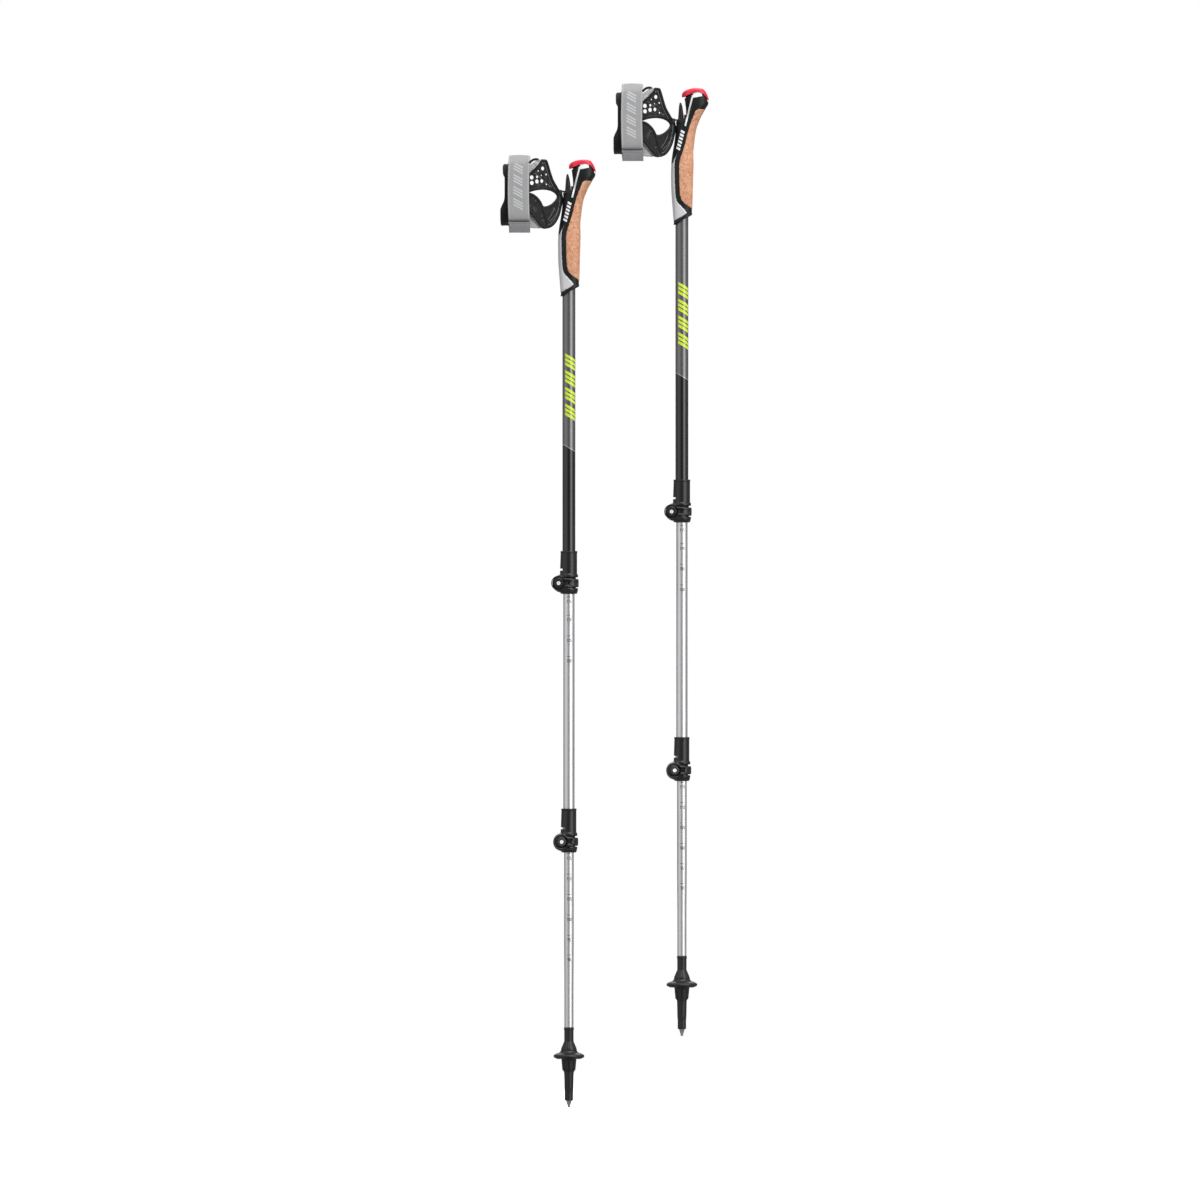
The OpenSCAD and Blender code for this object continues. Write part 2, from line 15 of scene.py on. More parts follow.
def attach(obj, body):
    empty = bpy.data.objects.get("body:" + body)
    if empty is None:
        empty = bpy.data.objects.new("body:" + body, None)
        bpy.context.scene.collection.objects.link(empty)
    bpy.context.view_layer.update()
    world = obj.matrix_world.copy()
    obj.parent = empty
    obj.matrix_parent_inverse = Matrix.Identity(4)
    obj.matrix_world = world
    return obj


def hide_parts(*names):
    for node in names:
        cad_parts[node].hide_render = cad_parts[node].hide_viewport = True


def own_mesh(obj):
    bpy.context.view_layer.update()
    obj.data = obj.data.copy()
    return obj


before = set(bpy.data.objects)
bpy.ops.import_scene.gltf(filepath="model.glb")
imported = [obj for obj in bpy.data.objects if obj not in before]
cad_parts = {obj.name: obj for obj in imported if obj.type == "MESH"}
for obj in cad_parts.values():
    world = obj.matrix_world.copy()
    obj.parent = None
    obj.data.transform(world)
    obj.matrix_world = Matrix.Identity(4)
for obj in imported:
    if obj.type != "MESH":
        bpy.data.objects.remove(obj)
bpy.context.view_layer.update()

MM = 0.001
SIDES = {"left": (0.0, 0.0), "right": (138.8, 87.8)}    # x and z of each pole's origin, mm

# outer radii of the three telescoping tubes, and their wall
UPPER_RADIUS, MIDDLE_RADIUS, LOWER_RADIUS = 8, 7, 6
TUBE_WALL = 0.8


# ---------------------------------------------------------------- objects
def build(name, side, shape, material, crease, smooth):
    """One mesh object from a shape, moved to its side, sharp where faces turn past crease."""
    dx, dz = SIDES[side]
    verts, faces = shape
    mesh = bpy.data.meshes.new(side + "_" + name)
    points = [((x + dx) * MM, y * MM, (z + dz) * MM) for x, y, z in verts]
    mesh.from_pydata(points, [], [tuple(f) for f in faces])
    mesh.update()
    bm = bmesh.new()
    bm.from_mesh(mesh)
    bmesh.ops.remove_doubles(bm, verts=bm.verts, dist=2e-6)
    bmesh.ops.dissolve_degenerate(bm, dist=1e-7, edges=bm.edges)
    bmesh.ops.recalc_face_normals(bm, faces=bm.faces)
    for face in bm.faces:
        face.smooth = smooth
    if smooth:
        for edge in bm.edges:
            if len(edge.link_faces) == 2 and edge.calc_face_angle(0.0) > math.radians(crease):
                edge.smooth = False
    bm.to_mesh(mesh)
    bm.free()
    ob = bpy.data.objects.new(side + "_" + name, mesh)
    bpy.context.scene.collection.objects.link(ob)
    mesh.materials.append(material)
    return ob


def add_pair(name, body, shape, material, replaces=None, crease=40, smooth=True):
    """The shape on both poles, riding on a body; material may be a dict by side."""
    pair = []
    for side in SIDES:
        own = material[side] if isinstance(material, dict) else material
        ob = build(name, side, shape, own, crease, smooth)
        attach(ob, side + "_" + body)
        if replaces:
            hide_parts(side + "_" + replaces)
        pair.append(ob)
    return pair


# ---------------------------------------------------------------- shapes: (points, faces)
def join(*shapes):
    verts, faces = [], []
    for points, loops in shapes:
        start = len(verts)
        verts += list(points)
        faces += [tuple(i + start for i in loop) for loop in loops]
    return verts, faces


def loft(rows):
    """Closed solid over rings of equal length, capped at the first and last ring."""
    n, m = len(rows), len(rows[0])
    faces = []
    for k in range(n - 1):
        for i in range(m):
            j = (i + 1) % m
            faces.append((k * m + i, k * m + j, (k + 1) * m + j, (k + 1) * m + i))
    faces.append(tuple(range(m))[::-1])
    faces.append(tuple((n - 1) * m + i for i in range(m)))
    return [p for row in rows for p in row], faces


def hoop(rows):
    """Closed sections joined round into a ring."""
    n, m = len(rows), len(rows[0])
    faces = []
    for i in range(n):
        j = (i + 1) % n
        for k in range(m):
            following = (k + 1) % m
            faces.append((i * m + k, i * m + following, j * m + following, j * m + k))
    return [p for row in rows for p in row], faces


def lathe(profile, n, ripple=None, closed=True):
    """Profile [(radius, z)] turned about Z; ripple(angle, radius, z) is added to the radius."""
    verts, faces = [], []
    m = len(profile)
    for i in range(n):
        a = 2 * math.pi * i / n
        for r, z in profile:
            rr = r + (ripple(a, r, z) if ripple else 0.0)
            verts.append((rr * math.cos(a), rr * math.sin(a), z))
    for i in range(n):
        j = (i + 1) % n
        for k in range(m if closed else m - 1):
            following = (k + 1) % m
            faces.append((i * m + k, j * m + k, j * m + following, i * m + following))
    return verts, faces


def supported(points, closed=True, end_gap=0.3, long=3.0, spacing=60.0):
    """Adds points near the ends of long straight runs, so that smooth shading stays true."""
    out, n = [], len(points)
    for i, a in enumerate(points):
        out.append(a)
        if not closed and i == n - 1:
            break
        b = points[(i + 1) % n]
        length = math.hypot(b[0] - a[0], b[1] - a[1])
        if length > long:
            middle = list(np.linspace(0, 1, max(1, int(length // spacing)) + 1))[1:-1]
            for t in [end_gap / length] + middle + [1 - end_gap / length]:
                out.append((a[0] + (b[0] - a[0]) * t, a[1] + (b[1] - a[1]) * t))
    return out


def rounded(profile, radius, steps, closed=True):
    """Rounds an outline's corners; a point may carry its own radius as a third number."""
    out, n = [], len(profile)
    for i, p in enumerate(profile):
        own = p[2] if len(p) > 2 else radius
        if not closed and i in (0, n - 1):
            out.append((p[0], p[1]))
            continue
        corner = np.array(p[:2], float)
        before = np.array(profile[(i - 1) % n][:2], float) - corner
        after = np.array(profile[(i + 1) % n][:2], float) - corner
        len_before, len_after = np.linalg.norm(before), np.linalg.norm(after)
        if own <= 0 or len_before < 1e-6 or len_after < 1e-6:
            out.append(tuple(corner))
            continue
        d = min(own, len_before * 0.45, len_after * 0.45)
        start, end = corner + before / len_before * d, corner + after / len_after * d
        for s in range(steps + 1):
            t = s / steps
            out.append(tuple((1 - t) ** 2 * start + 2 * t * (1 - t) * corner + t * t * end))
    return out


def sweep(path, section, up=(0, 0, 1)):
    """Section [(sideways, upward)] carried along a 3D path; up is one vector or one per point."""
    path = np.array(path, float)
    tangents = np.gradient(path, axis=0)
    tangents /= np.linalg.norm(tangents, axis=1)[:, None]
    ups = np.broadcast_to(np.array(up, float), path.shape)
    rows = []
    for point, tangent, upward in zip(path, tangents, ups):
        side = np.cross(tangent, upward)
        side /= np.linalg.norm(side)
        normal = np.cross(side, tangent)
        rows.append([point + side * a + normal * b for a, b in section])
    return loft(rows)


def ellipse(rx, ry, n):
    angles = [2 * math.pi * i / n for i in range(n)]
    return [(rx * math.cos(a), ry * math.sin(a)) for a in angles]


def signed_power(v, power):
    return math.copysign(abs(v) ** power, v)


def superellipse(rx, ry, power, n):
    return [(rx * signed_power(math.cos(t), power), ry * signed_power(math.sin(t), power))
            for t in np.linspace(0, 2 * math.pi, n + 1)[:-1]]


def smooth01(u):
    u = min(max(u, 0.0), 1.0)
    return u * u * (3 - 2 * u)


def quarter_round(distance, width):
    """Rises from 0 at an edge to 1 at width, along a quarter circle."""
    return math.sqrt(max(0.0, 1 - (1 - min(distance / width, 1.0)) ** 2))


def pchip(xs, ys):
    """Smooth curve through points with no overshoot."""
    xs, ys = np.array(xs, float), np.array(ys, float)
    h = np.diff(xs)
    d = np.diff(ys) / h
    m = np.zeros(len(xs))
    for i in range(1, len(xs) - 1):
        if d[i - 1] * d[i] > 0:
            w1, w2 = 2 * h[i] + h[i - 1], h[i] + 2 * h[i - 1]
            m[i] = (w1 + w2) / (w1 / d[i - 1] + w2 / d[i])
    m[0], m[-1] = d[0], d[-1]

    def curve(x):
        x = min(max(float(x), xs[0]), xs[-1])
        i = int(min(max(np.searchsorted(xs, x) - 1, 0), len(xs) - 2))
        t = (x - xs[i]) / h[i]
        return float((2 * t**3 - 3 * t**2 + 1) * ys[i] + (t**3 - 2 * t**2 + t) * h[i] * m[i]
                     + (-2 * t**3 + 3 * t**2) * ys[i + 1] + (t**3 - t**2) * h[i] * m[i + 1])
    return curve


def smooth_path(points, n):
    """Catmull-Rom curve through points, as n points evenly spaced along it."""
    p = np.array(points, float)
    q = np.vstack([2 * p[0] - p[1], p, 2 * p[-1] - p[-2]])
    fine = []
    for a, b, c, d in zip(q, q[1:], q[2:], q[3:]):
        for s in range(24):
            t = s / 24
            fine.append(0.5 * ((2 * b) + (c - a) * t + (2 * a - 5 * b + 4 * c - d) * t * t
                               + (3 * b - a - 3 * c + d) * t**3))
    fine.append(q[-2])
    fine = np.array(fine)
    run = np.r_[0, np.cumsum(np.linalg.norm(np.diff(fine, axis=0), axis=1))]
    even = np.linspace(0, run[-1], n)
    return np.stack([np.interp(even, run, fine[:, k]) for k in range(fine.shape[1])], 1)


# ---------------------------------------------------------------- flat sheets
def inside(px, py, poly):
    poly = np.array(poly, float)
    x0, y0 = poly[:, 0], poly[:, 1]
    x1, y1 = np.roll(x0, -1), np.roll(y0, -1)
    px, py = np.asarray(px, float)[:, None], np.asarray(py, float)[:, None]
    spans = (y0 > py) != (y1 > py)
    with np.errstate(divide="ignore", invalid="ignore"):
        crossing = (x1 - x0) * (py - y0) / (y1 - y0) + x0
    return (spans & (px < crossing)).sum(1) % 2 == 1


def inside_sheet(px, py, loops):
    """Inside the first loop and outside the others."""
    keep = inside(px, py, loops[0])
    for loop in loops[1:]:
        keep &= ~inside(px, py, loop)
    return keep


def resample(poly, step):
    out = []
    p = [np.array(q[:2], float) for q in poly]
    for a, b in zip(p, p[1:] + p[:1]):
        k = max(1, int(round(np.linalg.norm(b - a) / step)))
        out += [tuple(a + (b - a) * s / k) for s in range(k)]
    return out


def resample_hole(hole, step):
    return resample(hole, min(step, 0.9))


def sheet(outline, step, holes=()):
    """Flat points and triangles over an outline with holes, with inner points on a grid."""
    loops = [resample(outline, step)] + [resample_hole(h, step) for h in holes]
    points, edges = [], []
    for loop in loops:
        start, n = len(points), len(loop)
        points += loop
        edges += [(start + i, start + (i + 1) % n) for i in range(n)]
    xs, ys = zip(*loops[0])
    gx, gy = [], []
    row = 0
    y = min(ys) + step / 2
    while y < max(ys):
        x = min(xs) + (step / 2 if row % 2 else 0)
        while x < max(xs):
            gx.append(x)
            gy.append(y)
            x += step
        y += step * 0.87
        row += 1
    gx, gy = np.array(gx), np.array(gy)
    keep = inside_sheet(gx, gy, loops)
    gx, gy = gx[keep], gy[keep]
    rim = np.array(points)
    far = np.array([np.min(np.hypot(rim[:, 0] - a, rim[:, 1] - b)) > step * 0.55
                    for a, b in zip(gx, gy)])
    points += list(zip(gx[far], gy[far]))
    found, _, triangles, *_ = geometry.delaunay_2d_cdt(
        [Vector(p) for p in points], edges, [], 0, 1e-5)
    flat = np.array([(p.x, p.y) for p in found])
    centres = np.array([flat[list(t)].mean(0) for t in triangles])
    keep = inside_sheet(centres[:, 0], centres[:, 1], loops)
    return flat, [tuple(t) for t, k in zip(triangles, keep) if k]


def thicken(triangles, front, back):
    """Closed solid between two placed copies of one triangle sheet's points."""
    n = len(front)
    faces = list(triangles) + [tuple(i + n for i in t)[::-1] for t in triangles]
    edges = {(a, b): None for t in triangles for a, b in zip(t, t[1:] + t[:1])}
    for a, b in edges:
        if (b, a) not in edges:
            faces.append((b, a, a + n, b + n))
    return front + back, faces


def edge_distance(points, loops):
    """Distance of each 2D point to the nearest edge of the loops."""
    points = np.asarray(points, float)
    best = np.full(len(points), 1e9)
    for loop in loops:
        loop = np.asarray(loop, float)
        for a, b in zip(loop, np.roll(loop, -1, 0)):
            ab = b - a
            squared = float(ab @ ab)
            if squared < 1e-12:
                continue
            t = np.clip(((points - a) @ ab) / squared, 0, 1)
            best = np.minimum(best, np.linalg.norm(points - (a + t[:, None] * ab), axis=1))
    return best


# ---------------------------------------------------------------- node materials
class Nodes:
    """Adds nodes to a tree; most methods return the new node's output socket."""
    def __init__(self, tree):
        self.tree = tree

    def node(self, kind, **props):
        node = self.tree.nodes.new(kind)
        for key, value in props.items():
            setattr(node, key, value)
        return node

    def put(self, socket, value):
        if isinstance(value, bpy.types.NodeSocket):
            self.tree.links.new(value, socket)
        else:
            socket.default_value = value

    def math(self, op, a, b=0.0, c=None):
        node = self.node("ShaderNodeMath", operation=op)
        self.put(node.inputs[0], a)
        self.put(node.inputs[1], b)
        if c is not None:
            self.put(node.inputs[2], c)
        return node.outputs[0]

    def times(self, a, b):
        return self.math("MULTIPLY", a, b)

    def plus(self, a, b):
        return self.math("ADD", a, b)

    def minus(self, a, b):
        return self.math("SUBTRACT", a, b)

    def linear(self, value, slope, offset):
        return self.math("MULTIPLY_ADD", value, slope, offset)

    def above(self, value, limit):
        return self.math("GREATER_THAN", value, limit)

    def map_range(self, value, start, end, at_start=0.0, at_end=1.0):
        node = self.node("ShaderNodeMapRange")
        for socket, setting in zip(node.inputs, (value, start, end, at_start, at_end)):
            self.put(socket, setting)
        return node.outputs[0]

    def ramp(self, fac, stops):
        node = self.node("ShaderNodeValToRGB")
        elements = node.color_ramp.elements
        while len(elements) < len(stops):
            elements.new(0.5)
        for element, (position, color) in zip(elements, stops):
            element.position = position
            element.color = color + (1,)
        self.put(node.inputs[0], fac)
        return node.outputs[0]


class Finish(Nodes):
    """A Principled material on object coordinates, with short calls for its usual nodes."""
    def __init__(self, name, **inputs):
        self.material = bpy.data.materials.new(name)
        self.material.use_nodes = True
        super().__init__(self.material.node_tree)
        self.shader = self.tree.nodes["Principled BSDF"]
        self.set(**inputs)
        self.coord = self.node("ShaderNodeTexCoord").outputs["Object"]

    def set(self, **inputs):
        """Shader inputs by name, with _ for a space."""
        for key, value in inputs.items():
            self.put(self.shader.inputs[key.replace("_", " ")], value)

    def xyz(self, side=None):
        """Coordinates; with a side, they are measured from that pole's origin."""
        split = self.node("ShaderNodeSeparateXYZ")
        source = self.coord
        if side and any(SIDES[side]):
            dx, dz = SIDES[side]
            shift = self.node("ShaderNodeVectorMath", operation="SUBTRACT")
            self.put(shift.inputs[0], source)
            shift.inputs[1].default_value = (dx * MM, 0, dz * MM)
            source = shift.outputs[0]
        self.put(split.inputs[0], source)
        return split.outputs[0], split.outputs[1], split.outputs[2]

    def scaled(self, *factors):
        node = self.node("ShaderNodeMapping")
        self.put(node.inputs[0], self.coord)
        node.inputs["Scale"].default_value = factors
        return node.outputs[0]

    def noise(self, scale, detail=3, rough=0.5, coord=None):
        node = self.node("ShaderNodeTexNoise")
        self.put(node.inputs["Vector"], coord or self.coord)
        node.inputs["Scale"].default_value = scale
        node.inputs["Detail"].default_value = detail
        node.inputs["Roughness"].default_value = rough
        return node.outputs[0]

    def mottle(self, scale, coord=None):
        """Broad, uneven noise for colour."""
        return self.noise(scale, detail=4, rough=0.6, coord=coord)

    def grain(self, scale):
        """Fine, even noise for bumps."""
        return self.noise(scale, detail=2)

    def voronoi(self, scale, coord, randomness=1.0, output="Distance"):
        node = self.node("ShaderNodeTexVoronoi", feature="F1")
        self.put(node.inputs["Vector"], coord)
        node.inputs["Scale"].default_value = scale
        node.inputs["Randomness"].default_value = randomness
        return node.outputs[output]

    def threshold(self, value, low, high):
        """Black below low, white above high."""
        return self.ramp(value, [(low, (0, 0, 0)), (high, (1, 1, 1))])

    def mix(self, fac, a, b):
        node = self.node("ShaderNodeMix", data_type="RGBA", blend_type="MIX")
        self.put(node.inputs[0], fac)
        self.put(node.inputs[6], a + (1,) if isinstance(a, tuple) else a)
        self.put(node.inputs[7], b + (1,) if isinstance(b, tuple) else b)
        return node.outputs[2]

    def between(self, value, low, high, soft):
        """1 where low < value < high, with a soft edge."""
        rise = self.map_range(value, low - soft, low + soft)
        fall = self.map_range(value, high - soft, high + soft, at_start=1.0, at_end=0.0)
        return self.times(rise, fall)

    def bump(self, height, strength, distance):
        node = self.node("ShaderNodeBump")
        self.put(node.inputs["Height"], height)
        node.inputs["Strength"].default_value = strength
        node.inputs["Distance"].default_value = distance
        self.set(Normal=node.outputs[0])


def srgb(*values):
    """Linear colour from 8-bit sRGB values."""
    return tuple((v / 255) / 12.92 if v / 255 <= 0.04045 else ((v / 255 + 0.055) / 1.055) ** 2.4
                 for v in values)


# ---------------------------------------------------------------- grip: skin
# the grip's outside: height, x of its back edge, x of its palm edge, half width in y
STATIONS = [
    (988, -9.0, 11.9, 9.4), (992, -9.3, 12.1, 9.6), (1010, -10.7, 12.3, 10.6),
    (1026, -11.9, 12.8, 11.8), (1041, -12.9, 13.1, 12.8), (1056, -13.1, 13.6, 13.4),
    (1071, -13.0, 14.0, 13.4), (1084, -11.6, 13.7, 12.8), (1097, -9.4, 14.9, 12.2),
    (1109, -7.9, 16.5, 12.0), (1117, -7.2, 18.3, 12.2), (1122.6, -6.4, 20.6, 12.6),
    (1124.2, -4.6, 21.2, 12.6), (1126.2, 1.7, 22.0, 12.8), (1128.2, 3.4, 22.8, 12.9),
    (1133.3, 5.0, 25.6, 13.4), (1139.5, 4.8, 29.5, 14.0), (1145, 4.1, 32.5, 14.4),
    (1152, 3.0, 33.0, 14.4), (1156.5, 1.2, 33.0, 14.2), (1161, -0.5, 32.0, 13.2),
    (1166, 3.0, 28.0, 10.5)]
station_z, *station_columns = zip(*STATIONS)
skin_back, skin_palm, skin_half = (pchip(station_z, column) for column in station_columns)
SKIN_POWER = 0.84              # below 1, the section is fuller than an ellipse

# lower and upper edge of the cap in side view: x, z
CAP_UNDER = [
    (-2, 1152.8), (0.5, 1153.0), (1.5, 1153.2), (6.4, 1155.0), (13.7, 1158.0), (17.4, 1159.3),
    (20.6, 1159.5), (24.6, 1158.0), (27.1, 1156.0), (30.1, 1152.4), (32, 1149.6), (34, 1148.0)]
CAP_OVER = [
    (-2, 1159.6), (0.1, 1160.3), (3.8, 1161.8), (7.5, 1162.9), (11.2, 1163.7), (16, 1164.3),
    (19.8, 1164.2), (25.9, 1163.3), (29.6, 1159.9), (32.9, 1154.1), (34, 1152)]
cap_under, cap_over = pchip(*zip(*CAP_UNDER)), pchip(*zip(*CAP_OVER))
CAP_GAP = 2.3                  # from the core's shoulder up to the cap
NECK_INSET = 1.6               # the neck under the cap, in from the skin
GRIP_POINTS = 128              # points round the core and the cap
GRIP_ANGLES = [2 * math.pi * i / GRIP_POINTS for i in range(GRIP_POINTS)]
CORE_Z = (1002.0, 1154.0)      # nominal heights of the core's outside


def skin(angle, z, out=0.0):
    """Point of the grip's outside (angle 0 = palm edge, pi = back edge), moved out by out."""
    a, b = skin_back(z), skin_palm(z)
    return ((a + b) / 2 + ((b - a) / 2 + out) * signed_power(math.cos(angle), SKIN_POWER),
            (skin_half(z) + out) * signed_power(math.sin(angle), SKIN_POWER), z)


def skin_angle(x, z):
    a, b = skin_back(z), skin_palm(z)
    u = min(1.0, max(-1.0, (x - (a + b) / 2) / ((b - a) / 2)))
    return math.acos(signed_power(u, 1 / SKIN_POWER))


arc_tables = {}


def arc_table(z):
    """Arc lengths from the palm edge round to the back edge, and the angles they belong to."""
    key = round(z * 5)
    if key not in arc_tables:
        angles = np.linspace(0, math.pi, 121)
        p = np.array([skin(t, key / 5)[:2] for t in angles])
        arcs = np.r_[0, np.cumsum(np.linalg.norm(np.diff(p, axis=0), axis=1))]
        arc_tables[key] = (arcs, angles)
    return arc_tables[key]


def arc_of(x, z, from_back=False):
    arcs, angles = arc_table(z)
    arc = float(np.interp(skin_angle(x, z), angles, arcs))
    return arcs[-1] - arc if from_back else arc


def arc_point(arc, z, out, from_back=False):
    """Point of the skin at an arc length; a negative arc lies on the -Y half."""
    arcs, angles = arc_table(z)
    run = arcs[-1] - abs(arc) if from_back else abs(arc)
    x, y, z = skin(float(np.interp(run, arcs, angles)), z, out)
    return (x, -y if arc < 0 else y, z)


def low_end(x):
    """Height of the core's slanted lower end."""
    return 1001.45 + 0.5683 * x


# ---------------------------------------------------------------- grip: parts
def core_rows():
    """Rings of the core's outside: the lowest follow its slanted end, the highest the cap."""
    z0, z1 = CORE_Z
    low_blend, high_blend, bead = 22, 26, 2.6

    def ring_point(angle, nominal, out):
        z = nominal
        for _ in range(6):
            x = skin(angle, z, out)[0]
            low = 1 - smooth01((nominal - z0) / low_blend)
            high = smooth01((nominal - (z1 - high_blend)) / high_blend)
            z = nominal + low * (low_end(x) - z0) + high * (cap_under(x) - CAP_GAP - z1)
        return skin(angle, z, out)

    rows = []
    for nominal in np.linspace(z0, z1, 150):
        rise = nominal - z0
        out = 0.55 * math.sin(math.pi * rise / bead) ** 0.8 if rise < bead else 0.0
        rows.append([ring_point(t, nominal, out) for t in GRIP_ANGLES])
    return rows


def make_core(material):
    bore_radius, bore_top = UPPER_RADIUS + 0.06, 1097.5
    rows = core_rows()
    # the lower face turns in to the tube: share of the way in, change in height
    lip = []
    for share, dz in ((1.0, 0.0), (0.72, 0.0), (0.3, -0.1), (0.08, 0.18)):
        row = []
        for x, y, _ in rows[0]:
            a = math.atan2(y, x)
            px = x + (bore_radius * math.cos(a) - x) * share
            py = y + (bore_radius * math.sin(a) - y) * share
            row.append((px, py, low_end(px) + dz))
        lip.append(row)
    bore = [[(x, y, z + (bore_top - z) * k) for x, y, z in lip[0]] for k in (1.0, 0.5)]
    # the shoulder turns in to the neck: inset from the skin, height above the shoulder
    neck = ((0.12, 0.03), (0.4, 0.05), (0.8, 0.05), (NECK_INSET, 0.08), (NECK_INSET, 1.2),
            (NECK_INSET, CAP_GAP - 0.5), (NECK_INSET + 0.25, CAP_GAP - 0.2),
            (NECK_INSET + 0.8, CAP_GAP - 0.08))
    top = []
    for inset, dz in neck:
        ring = [skin(t, z, -inset) for (_, _, z), t in zip(rows[-1], GRIP_ANGLES)]
        top.append([(x, y, cap_under(x) - CAP_GAP + dz) for x, y, _ in ring])
    # the neck's top face closes towards x = 17
    neck_edge = top[-1]
    for k in (0.8, 0.55, 0.3, 0.08):
        ring = [(17 + (x - 17) * k, y * k) for x, y, _ in neck_edge]
        top.append([(x, y, cap_under(x) - 0.05 - 0.9 * (1 - k)) for x, y in ring])
    add_pair("grip_body", "upper", loft(bore + lip + rows + top), material,
             replaces="grip_core", crease=55)


def inlay(outline, from_back, proud, deep, rim, step):
    """A piece let into the grip, from its outline in arc length and height."""
    flat, triangles = sheet(outline, step)
    edge = edge_distance(flat, [resample(outline, step)])
    lift = [-deep * 0.55 + (proud + deep * 0.55) * quarter_round(d, rim) for d in edge]
    return thicken(triangles,
                   [arc_point(a, z, out, from_back) for (a, z), out in zip(flat, lift)],
                   [arc_point(a, z, -deep, from_back) for a, z in flat])


# edge of the cork in side view, from its top down to its lower end: x, z
CORK_SIDE = [
    (28.9, 1138.2), (26, 1138.5), (23, 1138.7), (20.4, 1138.6), (18.4, 1137.9), (16.6, 1136.4),
    (14.9, 1133.8), (13, 1129.5), (10.6, 1122.1), (8.1, 1114.7), (5.7, 1106.1), (3.2, 1096.3),
    (0.2, 1086.5), (-2.6, 1078), (-3.9, 1073.4), (-4.4, 1068.4), (-4.4, 1060), (-4.2, 1053.3),
    (-3.8, 1041.1), (-3.2, 1033), (-2.2, 1028.3), (-0.2, 1024.6), (2.8, 1021.6), (7.6, 1018),
    (12.0, 1014.9)]
# edge of the silver panel in side view, and where it meets the back edge
PANEL_SIDE = [
    (-11.0, 1073.6), (-8.9, 1078.6), (-7.0, 1082.6), (-5.9, 1083.6), (-5.7, 1082.2),
    (-7.2, 1078.4), (-8.3, 1074), (-8.7, 1067.5), (-8.6, 1056), (-8.1, 1045), (-7.5, 1036),
    (-6.9, 1029.6), (-6.0, 1026), (-4.2, 1023.2), (0.6, 1018), (4.6, 1013.9), (6.6, 1011.6),
    (6.9, 1010.4), (5.6, 1009.2), (0.2, 1005.6), (-4.6, 1002.9), (-9.0, 1000.7)]
PANEL_TOP_Z, PANEL_LOW_Z = 1068.0, 999.9


def make_cork(material):
    half = [(arc_of(x, z), z) for x, z in reversed(CORK_SIDE)]
    outline = [(-a, z) for a, z in reversed(half)] + half
    shape = inlay(outline, from_back=False, proud=0.35, deep=1.6, rim=1.5, step=1.15)
    add_pair("cork_shell", "upper", shape, material,
             replaces="cork_grip", crease=60)


def make_panel(material):
    half = [(arc_of(x, z, from_back=True), z) for x, z in PANEL_SIDE]
    outline = ([(0.0, PANEL_TOP_Z)] + half + [(0.0, PANEL_LOW_Z)]
               + [(-a, z) for a, z in reversed(half)])
    shape = inlay(outline, from_back=True, proud=0.3, deep=1.4, rim=1.2, step=1.1)
    add_pair("silver_panel", "upper", shape, material,
             replaces="grip_panel", crease=60)


# white line and patch in side view: x, z
WHITE_LINE = [(14.4, 1155.4), (12.4, 1154.9), (8.2, 1138.9), (3.1, 1117.7), (5.0, 1117.0),
              (10.1, 1138.4)]
WHITE_PATCH = [(13.6, 1155.2), (18, 1156.6), (20.8, 1156.7), (23.0, 1156.0), (24.2, 1155.1),
               (24.9, 1154.1), (20, 1153.0), (14.2, 1151.9), (13.2, 1152.4)]


def slanted_dashes():
    """Six slanted dashes in a row that climbs from start to end."""
    (x0, z0), (x1, z1) = (-5.0, 1087.6), (1.7, 1113.4)
    pitch, length, slant, half_width = 4.25, 2.7, 1.5, 2.45
    run = math.hypot(x1 - x0, z1 - z0)
    ux, uz = (x1 - x0) / run, (z1 - z0) / run
    corners = ((0, -1), (length, -1), (length + slant, 1), (slant, 1))
    return [[(x0 + ux * (i * pitch + along) - uz * half_width * side,
              z0 + uz * (i * pitch + along) + ux * half_width * side * 0.9)
             for along, side in corners] for i in range(6)]


def make_white_marks(material):
    shapes = []
    for mark in [WHITE_LINE, WHITE_PATCH] + slanted_dashes():
        outline = [(arc_of(x, z), z) for x, z in resample(mark, 1.0)]
        flat, triangles = sheet(outline, 0.8)
        verts, faces = thicken(triangles, [arc_point(a, z, 0.13) for a, z in flat],
                               [arc_point(a, z, -0.5) for a, z in flat])
        shapes.append((verts, faces))
        shapes.append(([(x, -y, z) for x, y, z in verts], [f[::-1] for f in faces]))
    add_pair("white_marks", "upper", join(*shapes), material,
             replaces="grip_accent", crease=50)


# rings of the cap from its edge to its crown, as elevation angles in degrees
CAP_RINGS = (0, 2, 5, 9, 14, 20, 27, 35, 43, 51, 59, 66, 72, 77, 81, 84, 86.5, 88.3, 89.6)


